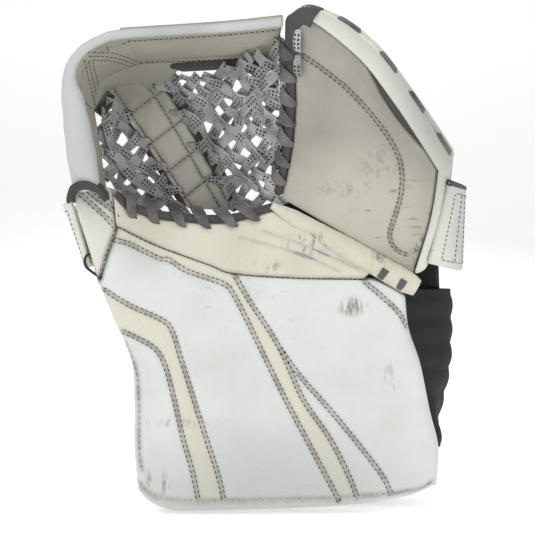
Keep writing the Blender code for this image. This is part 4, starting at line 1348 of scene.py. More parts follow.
def wall_between(name, front, back, thickness, direction, finish, node, seams=(), rows=26, columns=110):
    """A padded wall whose inner side shows in the pocket. Its seams are shares of its depth."""
    shares = spread(0, 1, rows)
    count = spread(0, 1, columns)
    front, back = along(front, count), along(back, count)
    inner = np.array([front * (1 - share) + back * share for share in shares])
    depth = length_of(inner[:, columns // 2])
    dip = np.zeros(inner.shape[:2])
    for seam in seams:
        dip += drawn_in((np.abs(shares - seam) * depth)[:, None] , pull=0.6 * MM, width=3 * MM)
    dip += rolled(inner, bottom=1.5 * MM, top=2 * MM, left=1 * MM, right=1 * MM)
    direction = unit(np.array(direction, float))
    face = dressed(inner, dip, direction, dip > 0.4 * MM, cap=1.5 * MM, every=3)
    outer = inner + direction * thickness
    piece = closed(name, face, outer, bow=0.8 * MM)
    store(piece, "seam", np.clip(dip / (1.4 * MM), 0, 1))
    keep(piece, "web", finish, node)
    return piece


# %% Walls
top_front = through([(-0.0965, -0.077, T_TOP_Z), (-0.04, -0.087, T_TOP_Z + 0.001),
                     (-0.0055, -0.0962, T_TOP_Z + 0.002)])
top_back = through([(-0.0965, -0.077 + T_DEPTH, T_BACK_Z), (-0.042, -0.09 + T_DEPTH, T_BACK_Z),
                    (-0.0095, -0.1007 + T_DEPTH, T_BACK_Z)])
side_front = through([(-0.1212, -0.0725, 0.099), (-0.119, -0.07, 0.075), (-0.1175, -0.068, 0.05)])
side_back = through([(-0.1192, -0.0725 + T_DEPTH, 0.0978), (-0.116, -0.07 + T_DEPTH, 0.075),
                     (-0.1125, -0.068 + T_DEPTH, 0.05)])
corner_front = through([(-0.121, -0.073, 0.0985), (-0.1185, -0.0745, 0.1135), (-0.109, -0.076, 0.124),
                        (-0.092, -0.077, T_TOP_Z)])
corner_back = through([(-0.119, -0.073 + T_DEPTH, 0.0972), (-0.1165, -0.0745 + T_DEPTH, 0.1115),
                       (-0.108, -0.076 + T_DEPTH, 0.1185), (-0.0918, -0.077 + T_DEPTH, T_BACK_Z)])
t_top = wall_between("t_top_wall", top_front, top_back, T_THICKNESS, (0, 0, 1), t_shaded_leather,
                     "t_wing_finger", seams=(0.1, 0.88))
t_side = wall_between("t_thumb_wall", side_front, side_back, T_THICKNESS, (-1, 0, 0), t_shaded_leather,
                      "t_wing_thumb", seams=(0.1,))
t_corner = wall_between("t_corner_wall", corner_front, corner_back, 0.8 * T_THICKNESS, (-1, 0, 1), t_shaded_leather,
                        "t_corner", seams=(0.1,))

# %% [markdown]
# ## The rolled edge
#
# The outer frame of the T is leather rolled round a cord of foam. Down the thumb's side the roll is broad
# and flattened, and along the top it is thin. Its radius is a curve along its length.


# %% Rolls
ROLL_SIDES = 22
ROLL_DEPTH = 0.85
ROLL_SEAM = math.radians(20)


def roll(name, path, radii):
    """A closed roll along a path, a little less deep than it is high, with a seam down its inner side."""
    count = len(path)
    tangent = unit(np.gradient(path, axis=0))
    side = unit(np.cross(tangent, BACKWARD))
    lift = np.cross(side, tangent)
    turn = ring_turns(ROLL_SIDES)
    ring = (path[:, None] + side[:, None] * (np.cos(turn) * radii[:, None])[..., None]
            + lift[:, None] * (np.sin(turn) * radii[:, None] * ROLL_DEPTH)[..., None])
    piece = mesh_piece(name, ring.reshape(-1, 3), tube_faces(count, ROLL_SIDES))
    gap = np.abs((turn - ROLL_SEAM + math.pi) % (2 * math.pi) - math.pi)
    store(piece, "seam", np.tile(np.exp(-(gap / 0.35) ** 2), count))
    return piece


roll_path = through([
    (-0.1165, -0.069, 0.0455), (-0.1178, -0.0705, 0.053), (-0.1198, -0.0735, 0.069),
    (-0.123, -0.0765, 0.093), (-0.125, -0.0785, 0.106), (-0.1235, -0.0795, 0.115),
    (-0.1175, -0.0805, 0.123), (-0.108, -0.0815, 0.1285), (-0.094, -0.083, T_TOP_Z + 0.0018),
    (-0.04, -0.092, T_TOP_Z + 0.0028), (-0.0055, -0.101, T_TOP_Z + 0.0038),
], 160)
share = spread(0, 1, 160)
roll_radii = MM * np.interp(share, (0, 0.02, 0.06, 0.14, 0.26, 0.33, 0.4, 1.0),
                            (4.0, 7.5, 8.4, 8.2, 6.4, 3.6, 2.7, 2.5))
roll_radii = roll_radii + 0.2 * MM * np.sin(share * 75) * (share < 0.3)
t_roll = roll("t_rolled_edge", roll_path, roll_radii)
keep(t_roll, "web", roll_leather, "t_roll")

# %% [markdown]
# ## The stem
#
# The stem is quilted: two long rows and four cross rows of thread divide it into cells, and the foam
# swells between them. Dark strips are laced on along both of its sides.

# %% The quilted stem
stem_left = through([(-0.1157, -0.022, 0.1156), (-0.1085, -0.012, 0.104), (-0.0904, 0.0, 0.0778),
                     (-0.0771, 0.003, 0.0573), (-0.0661, 0.004, 0.0404)])
stem_right = through([(-0.0807, -0.022, 0.1162), (-0.0723, -0.012, 0.1049), (-0.0573, 0.0, 0.0778),
                      (-0.0445, 0.003, 0.054), (-0.036, 0.004, 0.0391)])
stem_across, stem_down = steps(0.032, 0.9 * MM, 3 * MM), steps(0.095, 1.0 * MM)
behind = unit(np.cross(stem_right[48] - stem_left[48], stem_left[-1] - stem_left[0]))
behind = behind if behind[1] > 0 else -behind


def on_stem(across, down):
    """Places on the stem's plane, from a share across it and a share down it."""
    across = np.asarray(across, float)[..., None]
    return along(stem_left, np.ravel(down)) * (1 - across) + along(stem_right, np.ravel(down)) * across


stem_grid = np.array([on_stem(stem_across, np.full(len(stem_across), down)) for down in stem_down])
LONG_ROWS, CROSS_ROWS, SLANT = (0.12, 0.74), (0.16, 0.4, 0.62, 0.83), 0.21
u_gap = np.abs(stem_across[None] - np.array(LONG_ROWS)[:, None]).min(axis=0)[None] * 0.03
slanted = stem_down[:, None] + SLANT * (stem_across[None] - 0.5)
v_gap = np.abs(slanted[..., None] - np.array(CROSS_ROWS)).min(axis=-1) * 0.078
stem_gap = np.minimum(u_gap, v_gap)
stem_drop = rolled(stem_grid, left=3 * MM, right=3 * MM) + drawn_in(
    stem_gap, groove=0.5 * MM, pull=1.3 * MM, width=3.2 * MM)
stem_front = dressed(stem_grid, stem_drop - 1.2 * MM, behind, stem_gap < 1.2 * MM, cap=1.5 * MM, every=2)
t_stem = closed("t_stem_leather", stem_front, stem_grid + behind * 7.7 * MM, bow=0.8 * MM)
mark_seam(t_stem, stem_gap, 1.3 * MM)
keep(t_stem, "web", t_shaded_leather, "t_stem_face", "t_stem_stiffener", "t_stem_back")
stem_tree = tree_of(t_stem)
stem_rows = []
for across in LONG_ROWS:
    stem_rows += single(stem_tree, on_stem(np.full(40, across), spread(0.01, 0.99, 40)), behind)
for middle in CROSS_ROWS:
    across = spread(0.03, 0.97, 14)
    stem_rows += single(stem_tree, on_stem(across, middle - SLANT * (across - 0.5)), behind)
sew("stem_thread", stem_rows, "web")

# %% [markdown]
# ## The fillet between stem and walls
#
# Where the stem meets the corner, one curved piece of leather fills the space between the two walls, so
# the T is closed there. It is a Coons patch from the top of the stem to the back edges of the walls.

# %% The fillet
SEAM_OVERLAP = np.array([-0.0012, -0.0022, 0.0022])
wall_edge = through(np.array([
    side_back[4], corner_back[24], corner_back[64], top_back[4], top_back[20], top_back[40],
]) + SEAM_OVERLAP)
stem_head = on_stem(spread(0, 1, 40), np.full(40, 0.03))
fillet_grid = patch(
    stem_head, wall_edge, through([tuple(stem_head[0]), tuple(wall_edge[0])]),
    through([tuple(stem_head[-1]), (-0.072, -0.033, 0.119), tuple(wall_edge[-1])]),
    steps(0.05, 1.0 * MM), steps(0.02, 1.0 * MM),
)
t_fillet = closed("t_fillet_leather", fillet_grid, fillet_grid + behind * 3 * MM, bow=0.5 * MM)
keep(t_fillet, "web", t_shaded_leather)


# %% Strips along the stem
def strip(name, middle, half_width, direction, *stands_for, thickness=2.2 * MM):
    """A flat dark strip with rounded edges, swept along a line."""
    sides = unit(np.cross(np.gradient(middle, axis=0), direction))
    laces(name, [(middle, sides, 2 * half_width, thickness)], "web", dark_binding, *stands_for)


right_strip = stem_right + unit(stem_right - stem_left) * 3.5 * MM + behind * 2.5 * MM
left_strip = stem_left - unit(stem_right - stem_left) * 1.5 * MM + behind * 3.0 * MM
strip("t_strip_right", right_strip[4:], 4.2 * MM, behind, "t_strip_finger")
strip("t_strip_left", left_strip[10:], 2.4 * MM, behind, "t_strip_thumb")
under_top = along(top_back, spread(0.28, 1.0, 60)) + np.array([0, 0.001, -0.0014])
strip("t_top_strip", under_top, 3.4 * MM * np.minimum(1.0, 0.3 + spread(0, 6, 60)), BACKWARD)

# %% Thread in the corner and along the walls
t_tree = tree_of(t_top, t_side, t_corner)
drawn_lines = [
    [(-0.1225, 0.1305), (-0.106, 0.13), (-0.0915, 0.125), (-0.0725, 0.1165)],
    [(-0.1215, 0.1282), (-0.106, 0.1275), (-0.092, 0.1228), (-0.0735, 0.1142)],
    [(-0.119, 0.1258), (-0.1065, 0.1252), (-0.0925, 0.1208), (-0.0745, 0.112)],
    [(-0.1235, 0.127), (-0.1205, 0.113), (-0.117, 0.0985)],
    [(-0.121, 0.1262), (-0.1178, 0.112), (-0.1145, 0.0975)],
    [(-0.1185, 0.125), (-0.115, 0.111), (-0.1115, 0.096)],
    [(-0.1135, 0.14), (-0.1085, 0.131)],
    [(-0.087, 0.1245), (-0.043, 0.1262), (-0.01, 0.1288)],
]
t_rows = [seen(t_tree, along(through(line), spread(0, 1, 60))) for line in drawn_lines]
t_rows += [*single(t_tree, top_front * 0.9 + top_back * 0.1, (0, 0, 1))]
sew("t_thread", t_rows, "web")

# %% [markdown]
# ## The webs
#
# The pocket is filled with skate lace: flat laces on the slant, in two directions, that pass over and
# under each other, with a few more threaded through on top. They leave small holes that light shows
# through. The webs' two surfaces are Coons patches between stem, walls, fingers and palm. The laces are
# drawn as straight lines, as they look from the front, and thrown onto these surfaces.

# %% The webs' surfaces
finger_edge = at_fingers(beside(face_left, -1.5 * MM), 4 * MM)[5:90]
finger_edge = np.vstack([[(-0.003, -0.031, 0.039)], finger_edge])
rim_back = on_heel(palm_rim) + np.array([0, 0.01, 0.001])
WEB_CORNER = (-0.0777, -0.03, 0.1227)
web_across, web_up = spread(0, 1, 60), spread(0, 1, 60)
finger_web_grid = patch(
    through([tuple(stem_right[-1] + (0.001, 0.004, -0.004)), (-0.022, -0.014, 0.032),
             tuple(finger_edge[0])]),
    through([WEB_CORNER, (-0.045, -0.047, 0.1195), tuple(finger_edge[-1])]),
    np.vstack([(stem_right + behind * 4 * MM)[::-1][:94], [WEB_CORNER]]), finger_edge, web_across, web_up,
)
thumb_web_grid = patch(
    rim_back[3:], through([tuple(side_back[2]), (-0.1155, -0.0255, 0.1045), tuple(stem_left[3])]),
    through([tuple(rim_back[3]), (-0.119, -0.029, 0.06), (-0.1205, -0.028, 0.076),
             tuple(side_back[2])]),
    through([tuple(rim_back[-1]), (-0.025, -0.01, 0.0345), tuple(stem_right[-1] + (0, 0.004, -0.003)),
             tuple(stem_left[-1] + (0, 0.004, -0.002)), tuple(stem_left[60] + (0, 0.004, 0)),
             tuple(stem_left[3] + (0, 0.004, 0))]),
    web_across, web_up,
)
corner_strip = thumb_web_grid[-1] + np.array([0.0006, 0.003, 0.0004])
strip("t_corner_strip", corner_strip, 4.5 * MM, behind, thickness=2.0 * MM)


def before_stem(place):
    """Whether a place on a web would lie in front of the stem."""
    sight = place - CAMERA_PLACE
    hit = stem_tree.ray_cast(CAMERA_PLACE, sight.normalized())
    return hit[0] is not None and sight.length < hit[3] + 3 * MM


def ground(grid):
    """A search tree over a grid."""
    faces = grid_faces(*grid.shape[:2])
    return BVHTree.FromPolygons([Vector(point) for point in grid.reshape(-1, 3)], faces)


# %% Weave the laces
LACE_STEP = 1.6 * MM
LACE_SPACING = 9.4 * MM
WORN_LACE = 1.2 * MM
SHORTEST_RUN = 6
FAMILIES = ((math.radians(-36), 0.0), (math.radians(52), 1.0))


def woven_laces(grid, low_corner, high_corner, lift, seed):
    """Routes of flat laces over a surface, seen from the front as straight slanting lines."""
    tree = ground(grid)
    middle = (np.array(low_corner) + np.array(high_corner)) / 2
    reach = np.linalg.norm(np.array(high_corner) - np.array(low_corner)) / 2
    runs = []
    for turn, phase in FAMILIES:
        ahead = np.array([math.cos(turn), math.sin(turn)])
        aside = np.array([-ahead[1], ahead[0]])
        for number in range(-int(reach / LACE_SPACING), int(reach / LACE_SPACING) + 1):
            shake = 0.14 * LACE_SPACING * math.sin(number * 2.4 + seed + 3 * phase)
            start = middle + aside * (number * LACE_SPACING + shake)
            places, normals, kept = [], [], []
            for step in np.arange(-reach, reach, LACE_STEP):
                hit, facing = seen(tree, [start + ahead * step])
                if len(hit) and not before_stem(Vector(hit[0])):
                    places.append(hit[0])
                    normals.append(facing[0])
                    kept.append(step)
            places, normals, kept = np.array(places), np.array(normals), np.array(kept)
            breaks = np.flatnonzero(np.diff(kept) > 2 * LACE_STEP) + 1
            for run in np.split(np.arange(len(kept)), breaks):
                if len(run) >= SHORTEST_RUN:
                    runs.append((places[run], normals[run], kept[run], number, phase))
    routes = []
    for places, normals, kept, number, phase in runs:
        wave = np.cos(math.pi * (kept / LACE_SPACING + number + phase))
        tangent = unit(np.gradient(places, axis=0))
        aside_3d = unit(np.cross(normals, tangent))
        tilt = 0.22 * np.sin(kept * 160 + number * 1.7 + seed + 2 * phase)
        sides = aside_3d + normals * tilt[:, None]
        widths = LACE_WIDTH * (0.9 + 0.1 * np.sin(kept * 240 + number * 2.1 + seed))
        routes.append((places + normals * (wave * lift + lift * 1.2)[:, None], sides, widths, WORN_LACE))
    return routes


finger_routes = woven_laces(finger_web_grid, (-0.0732, 0.1332), (0.006, 0.033), 1.5 * MM, 0.0)
laces("web_finger_laces", finger_routes, "web", skate_lace, "web_finger")
thumb_routes = woven_laces(thumb_web_grid, (-0.123, 0.1032), (-0.021, 0.021), 1.4 * MM, 1.3)
laces("web_thumb_laces", thumb_routes, "web", skate_lace, "web_thumb")

# %% Laces threaded through on top
top_lines = [
    [(-0.0684, 0.1176), (-0.0552, 0.1068), (-0.0408, 0.0948), (-0.0252, 0.0792), (-0.0108, 0.066)],
    [(-0.054, 0.1224), (-0.0372, 0.1116), (-0.0204, 0.102), (-0.0036, 0.0912)],
    [(-0.0612, 0.0996), (-0.0516, 0.0888), (-0.0396, 0.0732), (-0.0264, 0.0588), (-0.0168, 0.0492)],
    [(-0.03, 0.1236), (-0.0168, 0.114), (-0.0024, 0.1056)],
    [(-0.0024, 0.1224), (-0.0132, 0.1116), (-0.024, 0.0972), (-0.03, 0.0828)],
    [(-0.114, 0.072), (-0.102, 0.0636), (-0.0864, 0.0492), (-0.072, 0.0396)],
    [(-0.1164, 0.0912), (-0.1092, 0.072), (-0.0948, 0.054), (-0.078, 0.042)],
    [(-0.084, 0.0444), (-0.0624, 0.0396), (-0.042, 0.0372), (-0.024, 0.0408)],
    [(-0.078, 0.0372), (-0.0564, 0.042), (-0.0348, 0.0396)],
]


def over_webs(lines, height):
    """Routes of laces that lie over the woven ones, on whichever web each line crosses."""
    trees = [ground(finger_web_grid), ground(thumb_web_grid)]
    routes = []
    for number, line in enumerate(lines):
        drawing = along(through(line), spread(0, 1, 44))
        for tree in trees:
            places, normals = seen(tree, drawing)
            if len(places) < 20 or any(before_stem(Vector(place)) for place in places):
                continue
            wave = np.sin(spread(0, 1, len(places)) * 15 + number)
            tangent = unit(np.gradient(places, axis=0))
            sides = unit(np.cross(normals, tangent)) + normals * (0.35 * wave)[:, None]
            widths = 6.6 * MM * (1 - 0.55 * np.abs(spread(-1, 1, len(places))) ** 6)
            routes.append((places + normals * (height + 0.9 * MM * wave)[:, None], sides, widths, WORN_LACE))
            break
    return routes


laces("web_top_laces", over_webs(top_lines, 5.0 * MM), "web", skate_lace)

# %% [markdown]
# ## Bound edges and pointed wraps
#
# The fingers' inner edge and the palm's rim are bound in dark tape. The web's laces come over the binding
# and go down through holes 5 mm inside the edge, where each lace is pinched to a point.


# %% Bindings
BINDING_SIDES = 20


def binding(name, middle, up, deep, half_height, half_depth, body, *stands_for):
    """Tape round an edge: a rounded box section, swept along the middle of the edge."""
    high, back = rounded_box(BINDING_SIDES, 0.6, 0.35)
    half_height = np.broadcast_to(half_height, len(middle))
    half_depth = np.broadcast_to(half_depth, len(middle))
    ring = (middle[:, None] + up[:, None] * (high * half_height[:, None])[..., None]
            + deep[:, None] * (back * half_depth[:, None])[..., None])
    piece = mesh_piece(name, ring.reshape(-1, 3), tube_faces(len(middle), BINDING_SIDES))
    keep(piece, body, dark_binding, *stands_for)


# %% Cross wraps
def pointed(places, ups, deeps, heights, depths, aside, slant):
    """Laces that come over an edge and end in a point: height above and depth behind the edge's front."""
    routes = []
    for place, up, deep, side in zip(places, ups, deeps, aside):
        share = spread(0, 1, len(heights))
        path = through([place + up * h + deep * d + side * slant * (s - 1)
                        for h, d, s in zip(heights, depths, share)], 25)
        widths = np.interp(spread(0, 1, 25), (0, 0.4, 0.7, 1.0), (7.8 * MM, 8.6 * MM, 6.2 * MM, 1.4 * MM))
        twist = 0.25 * np.sin(spread(0, 3, 25))
        sides = np.tile(side, (25, 1)) + deep * twist[:, None]
        routes.append((path, sides, widths, 1.3 * MM))
    return routes


# %% The fingers' edge
edge_line = along(joined(face_left, along(face_top, spread(0, 0.13, 20))), spread(0.0, 1.0, 80))
edge_depths = edge_depth(edge_line[:, 0]) / 2
edge_middle = at_fingers(edge_line, edge_depths)
edge_ahead = unit(np.gradient(at_fingers(edge_line), axis=0))
edge_out = unit(np.cross(edge_ahead, INWARD))
edge_out = edge_out if edge_out[40] @ ALONG < 0 else -edge_out
edge_in = np.tile(INWARD, (80, 1))
edge_share = spread(0, 1, 80)
half_widths = np.interp(edge_share, (0, 0.1, 0.6, 0.8, 1.0), np.array((3.0, 2.9, 2.9, 4.2, 4.6)) * MM)
edge_shift = np.interp(edge_share, (0, 0.6, 0.85, 1.0), np.array((0.2, 0.2, -1.6, -1.6)) * MM)
binding("finger_edge_binding", edge_middle + edge_out * edge_shift[:, None], edge_out, edge_in, half_widths,
        edge_depths + 1.5 * MM, "fingers", "finger_edge_lacing", "finger_tip_binding")
TOOTH_HEIGHTS = np.array([10.0, 7.5, 5.0, 2.2, -0.6, -2.8, -3.9]) * MM
TOOTH_DEPTHS = np.array([9.0, 4.0, -0.8, -3.0, -2.9, -1.4, 1.6]) * MM
tooth_picks = (np.array([0.07, 0.17, 0.28, 0.385, 0.49, 0.6, 0.7]) * 79).astype(int)
finger_teeth = pointed(
    at_fingers(edge_line)[tooth_picks], edge_out[tooth_picks], edge_in[tooth_picks],
    TOOTH_HEIGHTS, TOOTH_DEPTHS, edge_ahead[tooth_picks], -8 * MM)
laces("finger_edge_wraps", finger_teeth, "fingers", edge_lace)

# %% The palm's rim
rim_line = on_heel(palm_rim)
rim_picked = along(rim_line, spread(0.03, 0.99, 90))
rim_up = np.tile([0.0, 0.0, 1.0], (90, 1))
rim_deep = np.tile(BACKWARD, (90, 1))
binding("palm_rim_binding", rim_picked + np.array([0, 0.0078, 0.0022]), rim_up, rim_deep, 2.7 * MM, 9.6 * MM,
        "cuff", "palm_edge_lacing")
rim_ahead = unit(np.gradient(rim_picked, axis=0))
rim_picks = (np.array([0.17, 0.33, 0.49, 0.64, 0.79, 0.93]) * 89).astype(int)
rim_out = unit(np.cross(rim_ahead, BACKWARD))
rim_out = rim_out if rim_out[40][2] > 0 else -rim_out
rim_teeth = pointed(rim_picked[rim_picks], rim_out[rim_picks], rim_deep[rim_picks],
                    TOOTH_HEIGHTS, TOOTH_DEPTHS, rim_ahead[rim_picks], 10 * MM)
laces("palm_rim_wraps", rim_teeth, "cuff", edge_lace)

# %% Tabs over the strips beside the stem
tab_routes = []
down_way = unit(stem_left[-1] - stem_left[0])
tab_widths = np.interp(spread(0, 1, 25), (0, 0.5, 0.85, 1.0), np.array((7.0, 5.6, 4.0, 1.6)) * MM)
for edge_points, inward, length, downs in (
    (stem_right, -1, 11, (0.02, 0.25, 0.5, 0.76)), (stem_left, 1, 10, (0.24, 0.46, 0.66, 0.85)),
):
    across = unit(stem_right[48] - stem_left[48]) * inward
    for down in downs:
        edge_place = along(edge_points, [down])[0]
        path = np.array([edge_place + (across * inner + behind * deep) * MM for inner, deep in (
            (-length, 4.0), (-6.0, -0.5), (0.0, -2.0), (4.0, -2.2), (6.5, 1.5))])
        path = through(path - down_way * spread(-1, 1, 5)[:, None] * 1.5 * MM, 25)
        tab_routes.append((path, np.tile(down_way, (25, 1)), tab_widths, 1.4 * MM))
laces("stem_tabs", tab_routes, "web", skate_lace)

# %% Loops at the finger tip
loop_routes = []
for share in (0.775, 0.905):
    centre = at_fingers(along(face_left, [share]))[0] - edge_out[60] * 5.6 * MM
    arc = np.array([
        centre + edge_ahead[60] * 6.0 * MM * math.sin(turn) - INWARD * (3.6 * math.cos(turn) - 0.4) * MM
        for turn in spread(-1.45, 1.45, 15)
    ])
    loop_widths = 4.6 * MM * np.cos(spread(-1.2, 1.2, 15)) ** 0.4
    loop_routes.append((arc, np.tile(edge_out[60], (15, 1)), loop_widths, 1.6 * MM))
laces("finger_tip_loops", loop_routes, "fingers", skate_lace)

# %% Band over the thumb's tip
arch = through([
    (-0.1262, 0.044), (-0.124, 0.0492), (-0.118, 0.052), (-0.1115, 0.0506), (-0.1065, 0.0455),
], 50)
arch_x, arch_z = arch.T
arch_outer = np.array([
    np.stack([arch_x, heel_y(arch_x, arch_z) + y, arch_z - 1.6 * MM * smooth((-y - 0.004) / 0.006)], axis=1)
    for y in spread(-0.015, 0.03, 24)
])
arch_inner = arch_outer - np.array([0, 0, 4.8 * MM])
thumb_band = closed("thumb_tip_band", arch_outer, arch_inner, bow=0.4 * MM, loops=2)
keep(thumb_band, "cuff", dark_binding, "thumb_tip_binding")

# %% The back of the thumb
thumb_back_rows = on_heel(flat_thumb) + (THUMB_DEPTH + 0.3 * MM) * BACKWARD
thumb_back_lift = 1.8 * MM - rolled_all(thumb_back_rows, 1.2 * MM)
thumb_back_out = thumb_back_rows + thumb_back_lift[..., None] * BACKWARD
thumb_back = closed("thumb_back_leather", thumb_back_out, thumb_back_rows, bow=0.2 * MM, loops=1)
keep(thumb_back, "cuff", white_leather, "thumb_back")

# %% [markdown]
# ## The hand side
#
# Behind the cuff the wrist is wrapped in a padded black sleeve, and a padded panel lies over the back of
# the hand. Both are quilted nylon: rows of thread hold the foam in channels. A white leather cover is sewn
# onto the hand panel, and a strip of hook tape on the sleeve holds the wrist strap.

# %% The wrist sleeve
SLEEVE_BOTTOM, SLEEVE_TOP = -0.112, -0.015
SLEEVE_THICKNESS = 3 * MM
SLEEVE_FRONT = CUFF_FACE_Y + CUFF_THICKNESS + LINING + SLEEVE_THICKNESS / 2 + 0.9 * MM
BACK_Y = 0.025
BACKHAND_THICKNESS = 10 * MM
STRAP_WIDTH, STRAP_Z = 0.038, -0.072
HOOK_THICKNESS, WEBBING = 1.2 * MM, 2.4 * MM


def x_on(edge, z):
    """Where an edge of the cuff is at height z."""
    order = np.argsort(edge[:, 1])
    return np.interp(z, edge[order, 1], edge[order, 0])


def sleeve_path(z, grow=0.0):
    """The sleeve's middle line at height z, from the little finger's side round the back, as (x, y)."""
    near, far = x_on(cuff_right, z), x_on(cuff_left, z)
    outer = 0.096 + 0.009 * smooth((z + 0.113) / 0.06)
    line = through([
        (near - 0.007, SLEEVE_FRONT), (near + 0.006, SLEEVE_FRONT + 0.003), (outer - 0.004, -0.002),
        (outer, 0.008), (outer - 0.014, BACK_Y - 0.004), (0.04, BACK_Y + 0.002),
        (-0.03, BACK_Y + 0.002), (-0.068, BACK_Y - 0.004), (far + 0.007, 0.004),
        (far + 0.01, SLEEVE_FRONT),
    ], 160)
    return beside(line, grow)


def round_wrist(shares, heights, grow):
    """A grid round the wrist: shares of the sleeve's path at each height, moved outward by grow."""
    grow = np.broadcast_to(grow, (len(heights), len(shares)))
    rows = []
    for z, row in zip(heights, grow):
        middle = along(sleeve_path(z), shares)
        flat = beside(middle, row[:, None])
        rows.append(np.column_stack([flat, np.full(len(flat), z)]))
    return np.array(rows)


# %% Quilting of the sleeve
QUILT_PITCH = 16.2 * MM
QUILT_HEM = 4 * MM
sleeve_shares, sleeve_heights = spread(0, 1, 130), spread(SLEEVE_BOTTOM, SLEEVE_TOP + 2.4 * MM, 58)
channel = 0.5 - 0.5 * np.cos((sleeve_heights - SLEEVE_BOTTOM) / QUILT_PITCH * 2 * math.pi)
hem = smooth((sleeve_heights - SLEEVE_BOTTOM) / QUILT_HEM)
hem *= smooth((SLEEVE_TOP - sleeve_heights) / QUILT_HEM)
puff = (0.2 + 1.5 * channel ** 0.5 * hem) * MM
sleeve_out = round_wrist(sleeve_shares, sleeve_heights, (0.2 * MM + puff)[:, None])
sleeve_in = round_wrist(sleeve_shares, sleeve_heights, -(0.2 * MM + 0.8 * puff)[:, None])
wrist_sleeve = closed("wrist_sleeve_pad", sleeve_out, sleeve_in, bow=0.4 * MM, loops=2)
keep(wrist_sleeve, "cuff", black_nylon, "wrist_sleeve")


# %% Panels over the back of the hand
def back_y(x, z):
    """The depth of the hand panel, which curves round the hand."""
    return BACK_Y - 0.013 * smooth(z / 0.055) - 0.015 * ((x - 0.01) / 0.09) ** 2


def over_hand(flat, lift=0.0):
    """Flat (x, z) points, laid over the back of the hand."""
    x, z = flat[..., 0], flat[..., 1]
    return np.stack([x, back_y(x, z) + lift, z], axis=-1)


hand_left = through([(-0.08, -0.012), (-0.07, 0.008), (-0.046, 0.022), (-0.02, 0.03)])
hand_right = through([(0.098, -0.012), (0.096, 0.014), (0.086, 0.038)])
hand_bottom = through([tuple(hand_left[0]), tuple(hand_right[0])])
hand_top = through([tuple(hand_left[-1]), (0.0, 0.044), (0.045, 0.047), tuple(hand_right[-1])])
hand_edges = (hand_bottom, hand_top, hand_left, hand_right)
flat_hand = patch(*hand_edges, steps(0.15, 1.6 * MM, 3 * MM), steps(0.055, 1.4 * MM, 3 * MM))
ribs = [through([(x, -0.02), (x + 0.002, 0.055)]) for x in (-0.05, -0.025, 0.0, 0.025, 0.05, 0.075)]
rib_gap = apart(flat_hand, ribs)
hand_roll = rolled_all(over_hand(flat_hand), 3 * MM)
hand_dip = drawn_in(rib_gap, groove=0.6 * MM, pull=1.6 * MM, width=5 * MM)
inner_face = over_hand(flat_hand, -BACKHAND_THICKNESS - 1.7 * MM + hand_roll + hand_dip)
outer_face = over_hand(flat_hand, -0.2 * MM - 0.3 * hand_roll)
backhand_pad = closed("backhand_quilt", inner_face, outer_face, bow=1.2 * MM)
keep(backhand_pad, "cuff", black_nylon, "backhand_pad", "backhand_lining")

# %% The leather over the hand panel
cover_flat = patch(*hand_edges, spread(0.08, 0.92, 90), spread(0.08, 0.92, 40))
cover_base = over_hand(cover_flat, 0.4 * MM)
cover_dip = rolled_all(cover_base, 3.5 * MM)
cover_middle = [through([tuple(cover_flat[20, 4]), tuple(cover_flat[24, 45]), tuple(cover_flat[20, 85])])]
cover_gap = apart(cover_flat, cover_middle)
cover_face = over_hand(cover_flat, 5 * MM - cover_dip - drawn_in(cover_gap, pull=1.4 * MM))
backhand_cover = closed("backhand_leather", cover_face, cover_base, bow=0.8 * MM)
mark_seam(backhand_cover, cover_gap)
keep(backhand_cover, "cuff", white_leather, "backhand_cover")
cover_tree = tree_of(backhand_cover)
cover_rows = double(cover_tree, over_hand(cover_middle[0]), -BACKWARD)
cover_border = np.vstack([
    cover_flat[3, 4:-4], cover_flat[4:-4, -5], cover_flat[-4, -5:4:-1], cover_flat[-5:3:-1, 4],
])
cover_rows += single(cover_tree, over_hand(cover_border), -BACKWARD)
sew("backhand_thread", cover_rows, "cuff")

# %% [markdown]
# ## Linings
#
# The inside of every panel is lined in black nylon. A lining is a thin sheet, sewn down flat on the panel
# behind it, with a slight swell between its edges.


# %% Linings
def lining_piece(name, grid, direction, body, node):
    """A lining over a grid of places on the panel behind it."""
    swell = rolled_all(grid, 1.4 * MM)
    front = grid + (LINING - 0.5 * swell)[..., None] * direction
    piece = closed(name, front, grid, bow=0.1 * MM, loops=1)
    keep(piece, body, black_nylon, node)


cuff_behind = on_heel(flat_cuff[::2, ::2]) + (CUFF_THICKNESS + 0.3 * MM) * BACKWARD
lining_piece("cuff_lining_nylon", cuff_behind, BACKWARD, "cuff", "cuff_lining")
palm_behind = on_heel(flat_palm[::2, ::2]) + (PALM_THICKNESS - LINING) * BACKWARD
lining_piece("palm_lining_nylon", palm_behind, BACKWARD, "cuff", "palm_lining")
pad_room = FINGER_PAD * (0.25 + 0.75 * taper(flat_face[::2, ::2, 0]))
face_behind = at_fingers(flat_face[::2, ::2], 1.8 * MM + 0.9 * MM + 1.5 * MM + pad_room)
lining_piece("finger_lining_nylon", face_behind, INWARD, "fingers", "finger_lining")

# %% [markdown]
# ## Straps and tabs
#
# The wrist strap is white webbing, folded and sewn at the thumb's side, and it grips the hook tape on the
# little finger's side. The two tabs are doubled webbing with a sewn border. Each is a separate body of the
# frame, because it peels open.

